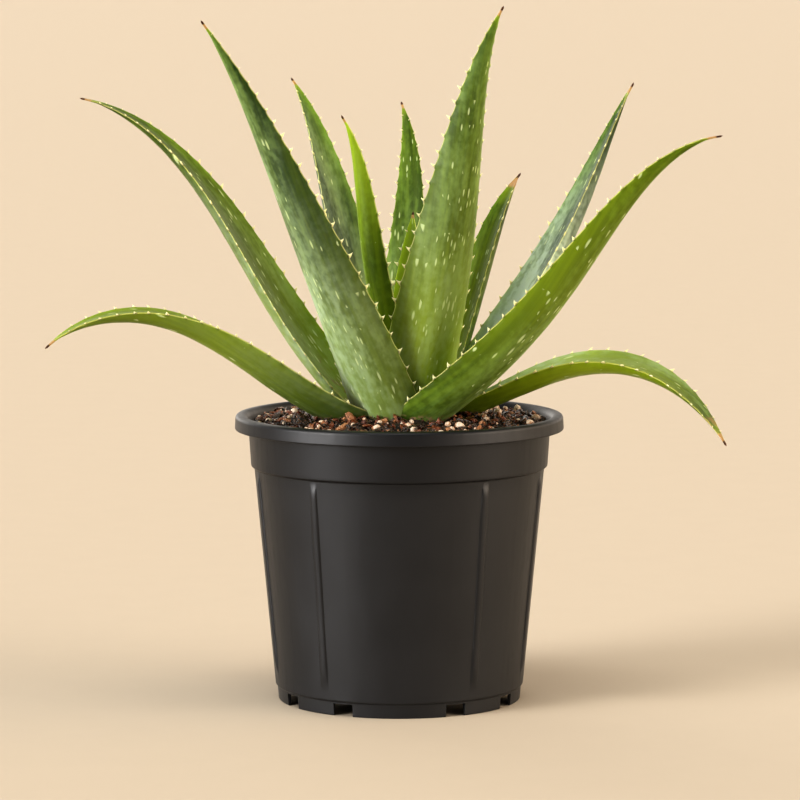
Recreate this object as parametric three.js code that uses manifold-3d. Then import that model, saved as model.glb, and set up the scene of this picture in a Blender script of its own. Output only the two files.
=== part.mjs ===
// A potted aloe vera: a black moulded nursery pot, the potting mix that fills it, the short stem and twelve
// thick toothed leaves that stand round it. Millimetres, +Z up, origin on the floor under the pot's axis.
import * as THREE from "three";
import { mergeVertices } from "three/addons/utils/BufferGeometryUtils.js";
import Module from "manifold-3d";

const wasm = await Module();
wasm.setup();

// Pot: outer radius and height of the places where its profile turns
const POT_SIDES = 48;
const POT_HEIGHT = 144;
const RIM_RADIUS = 82.5;
const SKIRT_BOTTOM = 136.5;
const SKIRT_THICK = 1.7;
const SHOULDER = 2.5;
const ROOF_THICK = 2.2;
const MOUTH_ROUNDING = 1.2;
const BAND_RADIUS = 75.6;
const LEDGE_HEIGHT = 118;
const LEDGE_OUTER = 74.4;
const LEDGE_INNER = 72.8;
const WALL_FOOT_HEIGHT = 12;
const WALL_FOOT_RADIUS = 62.9;
const FOOT_RADIUS = 61.3;
const FOOT_ROUNDING = 0.8;
const WALL = 1.5;
const FLOOR_UNDER = 7;
const PAD_RADIUS = 14;
const PAD_SLOPE_RADIUS = 22;

// Pot: upright beads on the wall, notches in the foot ring and holes in the floor
const BEAD_ANGLES = [35.5, 75, 117, 159];
const BEAD_WIDTH = 4;
const BEAD_PROUD = 0.9;
const BEAD_SUNK = 0.9;
const BEAD_EDGE = 0.1;
const BEAD_BOTTOM = 16;
const BEAD_TOP = 114;
const NOTCH_ANGLES = [27, 60, 93, 147, 180, 213, 267, 300, 333];
const NOTCH_WIDTH = 10.5;
const NOTCH_HEIGHT = 6;
const NOTCH_DEPTH = 8;
const DRAIN_HOLES = 6;
const DRAIN_RADIUS = 5;
const DRAIN_CIRCLE = 44;

// Potting mix: level at the wall, level round the crown, bark chips and perlite grains
const GAP = 0.35;
const SOIL_AT_WALL = 140.3;
const SOIL_AT_CROWN = 145;
const SOIL_RINGS = 7;
const SOIL_SIDES = 40;
const SOIL_LUMPS = 0.9;
const SOIL_CLEAR = 0.6;
const CHIPS = 20;
const CHIP_LENGTH = [9, 15];
const CHIP_WIDTH_SHARE = [0.3, 0.5];
const CHIP_THICK = [2.6, 4];
const CHIP_NARROW_END = 0.55;
const CHIP_TILT = 0.3;
const GRAINS = 20;
const GRAIN_RADIUS = [1.4, 2.3];
const SEED = 41;

// Stem: a short stub that the leaves stand round, hidden among their bases
const STEM_RADIUS = 8.5;
const STEM_BOTTOM = 96;
const STEM_TOP = 150;
const STEM_TAPER = 12;

// Leaves: what they share. Teeth alternate from margin to margin, closer together towards the tip.
const MARGIN = 0.9;
const UNDERSIDE_ROUNDNESS = 0.75;
const TIP_THICKENING = 0.5;
const TIP_FLATTENING = 0.6;
const LAST_RING = 0.975;
const THINNEST = 0.9;
const BARE_STEP = 11;
const FIRST_TOOTH = 36;
const TOOTH_STEP = 6.5;
const STEP_AT_TIP = 4.6;
const TOOTH_LENGTH = 2.6;
const TOOTH_HOOK = 1.4;
const SMALLEST_TOOTH = 0.45;
const FULL_TOOTH_WIDTH = 15.4;

// Each leaf, from the front of the crown to its back. foot is where its middle line starts. lean is its
// angle from upright at the foot, a third up, two thirds up and the tip; heading is the compass angle that it
// leans to, from +X towards +Y, at foot, middle and tip; roll turns its face about its own line. width is
// across the margins at the foot and a third and two thirds up; thick and channel are shares of the width.
const LEAVES = [
  {
    foot: [0, -14, 138],
    length: 231.5,
    lean: [51, 46, 41, 83],
    heading: [326, 334, 327],
    roll: [-19, -4],
    width: [24.5, 29, 18],
    thick: 0.29,
    channel: 0.14,
  },
  {
    foot: [-2.5, -13, 136],
    length: 241,
    lean: [26, 30, 31, 45],
    heading: [234, 222, 226],
    roll: [19, -5],
    width: [36, 33.5, 20],
    thick: 0.22,
    channel: 0.11,
  },
  {
    foot: [6, -6, 136],
    length: 230.5,
    lean: [9, 22, 20, 47],
    heading: [293, 300, 300],
    roll: [-9, 2],
    width: [33, 36, 21.5],
    thick: 0.27,
    channel: 0.13,
  },
  {
    foot: [-17, -15, 146],
    length: 180.5,
    lean: [73, 56, 82, 133],
    heading: [200, 200, 193],
    roll: [6, -9],
    width: [24.5, 28.5, 18],
    thick: 0.26,
    channel: 0.15,
  },
  {
    foot: [15, -2.5, 146],
    length: 172,
    lean: [82, 68, 110, 149],
    heading: [354, 346, 337],
    roll: [-3, 18],
    width: [15.5, 27.5, 19],
    thick: 0.2,
    channel: 0.17,
  },
  {
    foot: [-8.5, 4, 143],
    length: 226.5,
    lean: [53, 34, 41, 80],
    heading: [169, 166, 174],
    roll: [-17, -7],
    width: [28.5, 26.5, 17.5],
    thick: 0.24,
    channel: 0.15,
  },
  {
    foot: [-1.5, 0, 146],
    length: 151,
    lean: [-10, 12, 10, 34],
    heading: [206, 205, 205],
    roll: [3, 2],
    width: [17, 18.5, 14.5],
    thick: 0.3,
    channel: 0.13,
  },
  {
    foot: [2.5, 5, 146],
    length: 98,
    lean: [2, 4, 6, 8],
    heading: [60, 60, 60],
    roll: [0, 0],
    width: [15, 19, 14.5],
    thick: 0.28,
    channel: 0.15,
  },
  {
    foot: [13, 9, 138],
    length: 139,
    lean: [30, 21, 24, 47],
    heading: [38, 38, 39],
    roll: [-1, 1],
    width: [20, 17, 15.5],
    thick: 0.28,
    channel: 0.2,
  },
  {
    foot: [19, 3.5, 138],
    length: 201,
    lean: [25, 37, 30, 33],
    heading: [23, 22, 22],
    roll: [3, 1],
    width: [22, 26, 17],
    thick: 0.3,
    channel: 0.2,
  },
  {
    foot: [-0.5, 12, 138],
    length: 174,
    lean: [4, 20, 26, 40],
    heading: [94, 79, 112],
    roll: [5, -20],
    width: [27, 22.5, 14.5],
    thick: 0.27,
    channel: 0.18,
  },
  {
    foot: [-7, 11, 138],
    length: 190,
    lean: [3, 22, 25, 48],
    heading: [128, 129, 130],
    roll: [0, 0],
    width: [23.5, 25, 17.5],
    thick: 0.27,
    channel: 0.18,
  },
];

const POT_BLACK = new THREE.MeshStandardMaterial({ color: "#2b2b2d", roughness: 0.55, metalness: 0 });
const MIX_BROWN = new THREE.MeshStandardMaterial({ color: "#4a2d1f", roughness: 0.95, metalness: 0 });
const STEM_PALE = new THREE.MeshStandardMaterial({ color: "#8f8a5c", roughness: 0.8, metalness: 0 });
const LEAF_GREEN = new THREE.MeshStandardMaterial({ color: "#5d7a38", roughness: 0.45, metalness: 0 });

const radians = THREE.MathUtils.degToRad;

// Solids: a geometry becomes a solid, and a solid becomes a named mesh

const MERGE = 1e-3;

function solid(geometry) {
  const plain = new THREE.BufferGeometry();
  plain.setAttribute("position", geometry.getAttribute("position"));
  plain.setIndex(geometry.index);
  const merged = mergeVertices(plain, MERGE);
  return new wasm.Manifold(
    new wasm.Mesh({
      numProp: 3,
      vertProperties: new Float32Array(merged.getAttribute("position").array),
      triVerts: new Uint32Array(merged.index.array),
    }),
  );
}

function indexed(points, triangles) {
  const geometry = new THREE.BufferGeometry();
  geometry.setAttribute("position", new THREE.Float32BufferAttribute(points.flat(), 3));
  geometry.setIndex(triangles.flat());
  return geometry;
}

function geometryOf(body) {
  const shell = body.getMesh();
  const points = [];
  for (let i = 0; i < shell.numVert; i++) {
    points.push([...shell.vertProperties.subarray(i * shell.numProp, i * shell.numProp + 3)]);
  }
  return indexed(points, [...shell.triVerts]);
}

function largest(body) {
  return body.decompose().reduce((best, piece) => (piece.volume() > best.volume() ? piece : best));
}

// A cut leaves slivers behind: they go once their points are merged
function mesh(name, body, material) {
  const geometry = geometryOf(largest(solid(geometryOf(body))));
  geometry.computeVertexNormals();
  const made = new THREE.Mesh(geometry, material);
  made.name = name;
  return made;
}

// A body of revolution about Z; the profile runs anticlockwise, outer side first
function turned(profile, sides) {
  const lathe = new THREE.LatheGeometry(
    profile.map(([radius, height]) => new THREE.Vector2(radius, height)),
    sides,
  );
  lathe.rotateX(Math.PI / 2);
  return solid(lathe);
}

// A closed skin over rings of points, with a flat first end and a last end drawn to one point. Where spikes
// holds a point for a patch between two rings, the patch is raised to it.
function lofted(rings, apex, spikes = []) {
  const count = rings[0].length;
  const points = rings.flat();
  const triangles = [];
  for (let i = 0; i + 1 < rings.length; i++) {
    for (let j = 0; j < count; j++) {
      const a = i * count + j;
      const b = i * count + ((j + 1) % count);
      const spike = spikes.find((one) => one.ring === i && one.patch === j);
      if (spike) {
        const top = points.push(spike.point) - 1;
        triangles.push([a, b, top], [b, b + count, top], [b + count, a + count, top], [a + count, a, top]);
      } else {
        triangles.push([a, b, b + count], [a, b + count, a + count]);
      }
    }
  }
  for (let j = 0; j + 1 < count / 2; j++) {
    const back = count - 1 - j;
    triangles.push([j, back, j + 1], [j + 1, back, back - 1]);
  }
  const last = (rings.length - 1) * count;
  const top = points.push(apex) - 1;
  for (let j = 0; j < count; j++) {
    triangles.push([last + j, last + ((j + 1) % count), top]);
  }
  return solid(indexed(points, triangles));
}

// Repeatable draws for the potting mix
let drawn = SEED;
function draw(low, high) {
  drawn = (drawn * 1664525 + 1013904223) % 4294967296;
  return low + ((high - low) * drawn) / 4294967296;
}

// Pot

function wallRadius(height) {
  const up = (height - WALL_FOOT_HEIGHT) / (LEDGE_HEIGHT - 1 - WALL_FOOT_HEIGHT);
  return WALL_FOOT_RADIUS + (LEDGE_INNER - WALL_FOOT_RADIUS) * up;
}

function potProfile() {
  const inner = FLOOR_UNDER + WALL;
  return [
    [0, 0],
    [PAD_RADIUS, 0],
    [PAD_SLOPE_RADIUS, FLOOR_UNDER],
    [FOOT_RADIUS - WALL - 0.3, FLOOR_UNDER],
    [FOOT_RADIUS - WALL, 0],
    [FOOT_RADIUS - FOOT_ROUNDING, 0],
    [FOOT_RADIUS, FOOT_ROUNDING * 2],
    [FOOT_RADIUS + 0.2, FLOOR_UNDER],
    [WALL_FOOT_RADIUS - 0.4, FLOOR_UNDER + 1],
    [LEDGE_INNER, LEDGE_HEIGHT - 1],
    [LEDGE_OUTER, LEDGE_HEIGHT + 0.3],
    [BAND_RADIUS, SKIRT_BOTTOM - 0.5],
    [BAND_RADIUS + 0.5, POT_HEIGHT - ROOF_THICK],
    [RIM_RADIUS - SKIRT_THICK - 0.5, POT_HEIGHT - ROOF_THICK],
    [RIM_RADIUS - SKIRT_THICK, SKIRT_BOTTOM],
    [RIM_RADIUS, SKIRT_BOTTOM],
    [RIM_RADIUS - 0.5, POT_HEIGHT - SHOULDER + 0.7],
    [RIM_RADIUS - SHOULDER, POT_HEIGHT],
    [BAND_RADIUS + 0.6 + MOUTH_ROUNDING, POT_HEIGHT],
    [BAND_RADIUS + 0.6, POT_HEIGHT - MOUTH_ROUNDING],
    [BAND_RADIUS - WALL, SKIRT_BOTTOM],
    [LEDGE_OUTER - WALL, LEDGE_HEIGHT + 1.6],
    [LEDGE_INNER - WALL, LEDGE_HEIGHT - 0.6],
    [WALL_FOOT_RADIUS - WALL, WALL_FOOT_HEIGHT],
    [WALL_FOOT_RADIUS - WALL - 1, inner],
    [PAD_SLOPE_RADIUS, inner],
    [PAD_RADIUS, WALL],
    [0, WALL],
  ];
}

// One upright bead: a low rounded section that follows the wall's slope and dies into it at both ends
function bead(angle) {
  const rings = [];
  const steps = 3;
  for (let i = 0; i <= steps; i++) {
    const height = BEAD_BOTTOM + ((BEAD_TOP - BEAD_BOTTOM) * i) / steps;
    const end = i === 0 || i === steps;
    const proud = end ? BEAD_EDGE : BEAD_PROUD;
    const half = end ? BEAD_WIDTH / 3 : BEAD_WIDTH / 2;
    const surface = wallRadius(height);
    const outline = [
      [surface - BEAD_SUNK, -half],
      [surface + BEAD_EDGE, -half],
      [surface + proud, -half / 2],
      [surface + proud, half / 2],
      [surface + BEAD_EDGE, half],
      [surface - BEAD_SUNK, half],
    ];
    const along = i === 0 ? height - 1 : i === steps ? height + 1 : height;
    rings.push(outline.map(([out, side]) => [side, -out, along]));
  }
  const middle = [0, -(wallRadius(BEAD_TOP) - 0.4), BEAD_TOP + 1.2];
  const turn = new THREE.Matrix4().makeRotationZ(radians(angle));
  const place = (point) => new THREE.Vector3(...point).applyMatrix4(turn).toArray();
  return lofted(
    rings.map((ring) => ring.map(place)),
    place(middle),
  );
}

function notch(angle) {
  const box = new THREE.BoxGeometry(NOTCH_WIDTH, NOTCH_DEPTH, NOTCH_HEIGHT * 2);
  box.translate(0, -FOOT_RADIUS, 0);
  box.rotateZ(radians(angle));
  return solid(box);
}

function drainHole(angle) {
  const drill = new THREE.CylinderGeometry(DRAIN_RADIUS, DRAIN_RADIUS, FLOOR_UNDER * 2, 8);
  drill.rotateX(Math.PI / 2);
  drill.translate(0, -DRAIN_CIRCLE, FLOOR_UNDER);
  drill.rotateZ(radians(angle));
  return solid(drill);
}

function pot() {
  let body = turned(potProfile(), POT_SIDES);
  for (const angle of BEAD_ANGLES) {
    body = body.add(bead(angle)).add(bead(-angle));
  }
  for (const angle of NOTCH_ANGLES) {
    body = body.subtract(notch(angle));
  }
  for (let i = 0; i < DRAIN_HOLES; i++) {
    body = body.subtract(drainHole((360 * (i + 0.5)) / DRAIN_HOLES));
  }
  return body;
}

// Leaves

// The value at a share along the leaf of the curve through evenly spaced values
function through(values, share) {
  const last = values.length - 1;
  return values.reduce((sum, value, i) => {
    let weight = 1;
    for (let j = 0; j <= last; j++) {
      if (j !== i) {
        weight *= (share * last - j) / (i - j);
      }
    }
    return sum + value * weight;
  }, 0);
}

// Direction along the leaf, across it, and out of its upper face, at a share of its length
function frameAt(leaf, share) {
  const lean = radians(through(leaf.lean, share));
  const heading = radians(through(leaf.heading, share));
  const roll = radians(through(leaf.roll, share));
  const out = new THREE.Vector3(Math.cos(heading), Math.sin(heading), 0);
  const along = out.clone().multiplyScalar(Math.sin(lean));
  along.z = Math.cos(lean);
  const face = out.clone().multiplyScalar(-Math.cos(lean));
  face.z = Math.sin(lean);
  const side = along.clone().cross(face);
  return {
    along,
    face: face.clone().multiplyScalar(Math.cos(roll)).addScaledVector(side, Math.sin(roll)),
    side: side.clone().multiplyScalar(Math.cos(roll)).addScaledVector(face, -Math.sin(roll)),
  };
}

// Point of the middle line at a share of the length, by small steps along the direction
function middleLine(leaf) {
  const steps = 160;
  const line = [new THREE.Vector3(...leaf.foot)];
  for (let i = 0; i < steps; i++) {
    const { along } = frameAt(leaf, (i + 0.5) / steps);
    line.push(line[i].clone().addScaledVector(along, leaf.length / steps));
  }
  return (share) => {
    const at = Math.max(0, Math.min(share, 1)) * steps;
    const low = Math.min(Math.floor(at), steps - 1);
    return line[low].clone().lerp(line[low + 1], at - low);
  };
}

function sizesAt(leaf, share) {
  const width = Math.max(through([...leaf.width, 0], share), THINNEST);
  const thick = Math.max(leaf.thick * width * (1 + TIP_THICKENING * share), THINNEST);
  return { half: width / 2, thick, channel: leaf.channel * width * (1 - TIP_FLATTENING * share) };
}

// One crescent section: the hollow upper face, a margin, the rounded underside and the other margin
const UPPER_ACROSS = [-1, -0.5, 0, 0.5, 1];
const UNDER_ACROSS = [0.6, 0, -0.6];
const RIGHT_MARGIN = UPPER_ACROSS.length - 1;
const LEFT_MARGIN = UPPER_ACROSS.length + UNDER_ACROSS.length + 1;

function sectionAt(leaf, line, share, grow) {
  const { along, side, face } = frameAt(leaf, share);
  const { half, thick, channel } = sizesAt(leaf, share);
  const centre = line(share);
  if (share === 0) {
    centre.addScaledVector(along, -grow);
  }
  const at = (across, depth) =>
    centre.clone().addScaledVector(side, across).addScaledVector(face, depth).toArray();
  const upper = UPPER_ACROSS.map((across) =>
    at(across * (half + grow), grow - channel * (1 - across * across)),
  );
  const under = UNDER_ACROSS.map((across) =>
    at(across * (half + grow), -grow - (channel + thick) * (1 - across * across) ** UNDERSIDE_ROUNDNESS),
  );
  const edge = Math.min(MARGIN, thick / 2) + grow;
  return [...upper, at(half + grow, -edge), ...under, at(-half - grow, -edge)];
}

// The point of the tooth between two stations: outward, and hooked on towards the leaf's tip
function toothPoint(leaf, line, from, to, sign, grow) {
  const share = (from + to) / 2;
  const { along, side } = frameAt(leaf, share);
  const { half } = sizesAt(leaf, share);
  const size = Math.min(1, SMALLEST_TOOTH + ((1 - SMALLEST_TOOTH) * 2 * half) / FULL_TOOTH_WIDTH);
  return line(share)
    .addScaledVector(side, sign * (half + TOOTH_LENGTH * size + 2 * grow))
    .addScaledVector(along, TOOTH_HOOK * size)
    .toArray();
}

// Stations along the leaf: long steps up the bare foot, then one tooth's width each
function stationsOf(leaf) {
  const stations = [];
  for (let at = 0; at < FIRST_TOOTH; at += BARE_STEP) {
    stations.push(at / leaf.length);
  }
  const bare = stations.length;
  let at = FIRST_TOOTH;
  while (at < leaf.length * LAST_RING - STEP_AT_TIP) {
    stations.push(at / leaf.length);
    at += TOOTH_STEP + ((STEP_AT_TIP - TOOTH_STEP) * at) / leaf.length;
  }
  stations.push(LAST_RING);
  return { stations, bare };
}

function leafSolid(leaf, grow = 0) {
  const line = middleLine(leaf);
  const { stations, bare } = stationsOf(leaf);
  const rings = stations.map((share) => sectionAt(leaf, line, share, grow));
  const spikes = [];
  for (let i = bare; i + 2 < stations.length; i++) {
    const sign = i % 2 ? 1 : -1;
    spikes.push({
      ring: i,
      patch: sign > 0 ? RIGHT_MARGIN : LEFT_MARGIN,
      point: toothPoint(leaf, line, stations[i], stations[i + 1], sign, grow),
    });
  }
  const { along } = frameAt(leaf, 1);
  return lofted(rings, line(1).addScaledVector(along, grow * 2).toArray(), spikes);
}

// Stem

function stemSolid(grow = 0) {
  const radius = STEM_RADIUS + grow;
  const profile = [
    [0, STEM_BOTTOM - grow],
    [radius * 0.6, STEM_BOTTOM - grow],
    [radius, STEM_BOTTOM + STEM_TAPER],
    [radius, STEM_TOP - STEM_TAPER / 2],
    [radius * 0.7, STEM_TOP + grow],
    [0, STEM_TOP + grow],
  ];
  return turned(profile, 16);
}

// Potting mix

function soilLevel(x, y) {
  const out = Math.min(1, Math.hypot(x, y) / BAND_RADIUS);
  const mound = SOIL_AT_WALL + (SOIL_AT_CROWN - SOIL_AT_WALL) * (1 - out * out);
  const waves = Math.sin(x * 0.31 + 1.7 * Math.sin(y * 0.23)) + Math.sin(y * 0.37 + 1.3 * Math.sin(x * 0.19));
  return mound + (SOIL_LUMPS * waves) / 2;
}

function innerRadius(height) {
  if (height > LEDGE_HEIGHT + 1) {
    const up = (height - LEDGE_HEIGHT - 1.6) / (SKIRT_BOTTOM - LEDGE_HEIGHT - 1.6);
    return LEDGE_OUTER + (BAND_RADIUS - LEDGE_OUTER) * up - WALL;
  }
  return wallRadius(height) - WALL;
}

function soilMound() {
  const low = FLOOR_UNDER + WALL + GAP;
  const side = [
    [PAD_SLOPE_RADIUS - 1, low],
    [WALL_FOOT_RADIUS - WALL - 2, low],
    [innerRadius(WALL_FOOT_HEIGHT) - SOIL_CLEAR, WALL_FOOT_HEIGHT],
    [innerRadius(LEDGE_HEIGHT - 2) - SOIL_CLEAR, LEDGE_HEIGHT - 2],
    [innerRadius(LEDGE_HEIGHT + 4) - SOIL_CLEAR, LEDGE_HEIGHT + 4],
  ];
  const rings = side.map(([radius, height]) => ({ radius, height: () => height }));
  for (let i = SOIL_RINGS; i > 0; i--) {
    const radius = ((innerRadius(SOIL_AT_WALL) - SOIL_CLEAR) * i) / SOIL_RINGS;
    rings.push({ radius, height: soilLevel });
  }
  const placed = rings.map(({ radius, height }) => {
    const ring = [];
    for (let j = 0; j < SOIL_SIDES; j++) {
      const angle = (2 * Math.PI * j) / SOIL_SIDES;
      const x = radius * Math.sin(angle);
      const y = -radius * Math.cos(angle);
      ring.push([x, y, height(x, y)]);
    }
    return ring;
  });
  return lofted(placed, [0, 0, soilLevel(0, 0)]);
}

// A bark chip: a flattened, skewed block lying on the mix, half sunk in it
function chip() {
  const spread = innerRadius(SOIL_AT_WALL) - 12;
  const radius = spread * Math.sqrt(draw(0.12, 1));
  const angle = draw(0, 2 * Math.PI);
  const length = draw(...CHIP_LENGTH);
  const width = length * draw(...CHIP_WIDTH_SHARE);
  const thick = draw(...CHIP_THICK);
  const block = new THREE.BoxGeometry(length, width, thick);
  const places = block.getAttribute("position");
  for (let i = 0; i < places.count; i++) {
    const narrow = places.getX(i) > 0 ? CHIP_NARROW_END : 1;
    places.setY(i, places.getY(i) * narrow + places.getZ(i) * 0.3);
  }
  block.rotateY(draw(-CHIP_TILT, CHIP_TILT));
  block.rotateX(draw(-CHIP_TILT, CHIP_TILT));
  block.rotateZ(draw(0, Math.PI));
  const x = radius * Math.cos(angle);
  const y = radius * Math.sin(angle);
  block.translate(x, y, soilLevel(x, y) + thick * 0.15);
  return solid(block);
}

// A perlite grain: a small uneven bead, half sunk in the mix
function grain() {
  const spread = innerRadius(SOIL_AT_WALL) - 4;
  const radius = spread * Math.sqrt(draw(0.1, 1));
  const angle = draw(0, 2 * Math.PI);
  const bead = new THREE.OctahedronGeometry(draw(...GRAIN_RADIUS), 0);
  bead.scale(draw(0.85, 1.2), draw(0.85, 1.2), 0.9);
  bead.rotateZ(draw(0, Math.PI));
  const x = radius * Math.cos(angle);
  const y = radius * Math.sin(angle);
  bead.translate(x, y, soilLevel(x, y) + 0.3);
  return solid(bead);
}

function soilSolid(cutters) {
  let body = soilMound();
  for (let i = 0; i < CHIPS; i++) {
    body = body.add(chip());
  }
  for (let i = 0; i < GRAINS; i++) {
    body = body.add(grain());
  }
  for (const cutter of cutters) {
    body = body.subtract(cutter);
  }
  return body;
}

// The plant: each leaf is cut clear of the stem and of the leaves in front of it, as their bases clasp

const plant = new THREE.Group();
const clearances = [stemSolid(GAP)];
LEAVES.forEach((leaf, i) => {
  let body = leafSolid(leaf);
  for (const other of clearances) {
    body = body.subtract(other);
  }
  const name = `leaf_${String(i + 1).padStart(2, "0")}`;
  plant.add(mesh(name, body, LEAF_GREEN));
  clearances.push(leafSolid(leaf, GAP));
});

const aloe = new THREE.Group();
aloe.add(mesh("pot", pot(), POT_BLACK));
aloe.add(mesh("soil", soilSolid(clearances), MIX_BROWN));
aloe.add(mesh("stem", stemSolid(), STEM_PALE));
aloe.add(plant);

export default aloe;
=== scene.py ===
"""A potted aloe vera, dressed over its packed CAD frame: waxy toothed leaves, a moulded nursery pot and a
bark potting mix with perlite, on a plain studio stage. Lengths are in mm until a mesh is made in metres."""

from typing import NamedTuple

import bpy
import numpy as np
from bpy.props import FloatProperty, FloatVectorProperty, IntProperty, PointerProperty
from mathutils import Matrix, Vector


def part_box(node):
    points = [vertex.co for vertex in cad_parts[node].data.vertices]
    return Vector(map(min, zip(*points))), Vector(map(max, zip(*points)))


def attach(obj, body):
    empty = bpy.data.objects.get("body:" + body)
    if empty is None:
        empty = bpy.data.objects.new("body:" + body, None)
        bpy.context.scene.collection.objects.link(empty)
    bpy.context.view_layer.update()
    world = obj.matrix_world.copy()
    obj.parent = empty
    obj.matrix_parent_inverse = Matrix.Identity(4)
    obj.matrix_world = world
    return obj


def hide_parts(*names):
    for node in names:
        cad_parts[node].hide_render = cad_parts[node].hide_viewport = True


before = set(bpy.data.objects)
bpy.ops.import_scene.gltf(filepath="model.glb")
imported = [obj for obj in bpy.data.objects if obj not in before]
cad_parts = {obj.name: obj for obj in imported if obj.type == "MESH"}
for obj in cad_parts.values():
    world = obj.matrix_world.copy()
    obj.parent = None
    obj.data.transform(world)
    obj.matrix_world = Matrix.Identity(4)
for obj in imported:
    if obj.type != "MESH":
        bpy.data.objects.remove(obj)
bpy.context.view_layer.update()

bl_info = {
    "name": "Potted Aloe",
    "version": (1, 0, 0),
    "blender": (4, 5, 0),
    "location": "View3D > Sidebar > Aloe",
    "description": "Dresses a potted aloe vera over its packed CAD frame",
    "category": "Add Mesh",
}

MM = 0.001


class Leaf(NamedTuple):
    """One leaf's form, as in the frame, and its own marks.

    foot is where its middle line starts. lean is its angle from upright, heading the compass angle that it
    leans to from +X towards +Y, and roll its turn about its own line, each at even steps along it. width is
    across the margins, at even steps up to a tip without any, and thick and channel are shares of the width.

    youth is how yellow-green the leaf is and depth how dark, both at foot, middle and tip, and depth ends
    with how much darker one margin is than the middle. depth is partly the leaf's own darker green and partly
    painted shade, where the leaf lies in other leaves' shadow or turns from the light, and its last value is
    painted shade across the leaf. bloom is its grey wax, halfway up, at both margins of the upper face and at
    both of the underside, and how steeply it thins towards the tip; it is partly a painted sheen, paler on a
    margin that catches the light. flecks holds the share of its skin's cells with a pale fleck, the share of
    its length where they gather, how far they spread, and their middle across the leaf from -1 to 1. husk is
    how withered the upper face is at the foot, and brown_tip how far down the tip has dried.
    """

    node: str
    foot: tuple
    length: float
    lean: tuple
    heading: tuple
    roll: tuple
    width: tuple
    thick: float
    channel: float
    youth: tuple
    depth: tuple
    bloom_and_sheen: tuple
    flecks: tuple
    husk: float
    brown_tip: float


# In each leaf, depth is partly painted shade, where it lies in others' shadow or turns from the light, and
# bloom is partly a painted sheen
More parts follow.
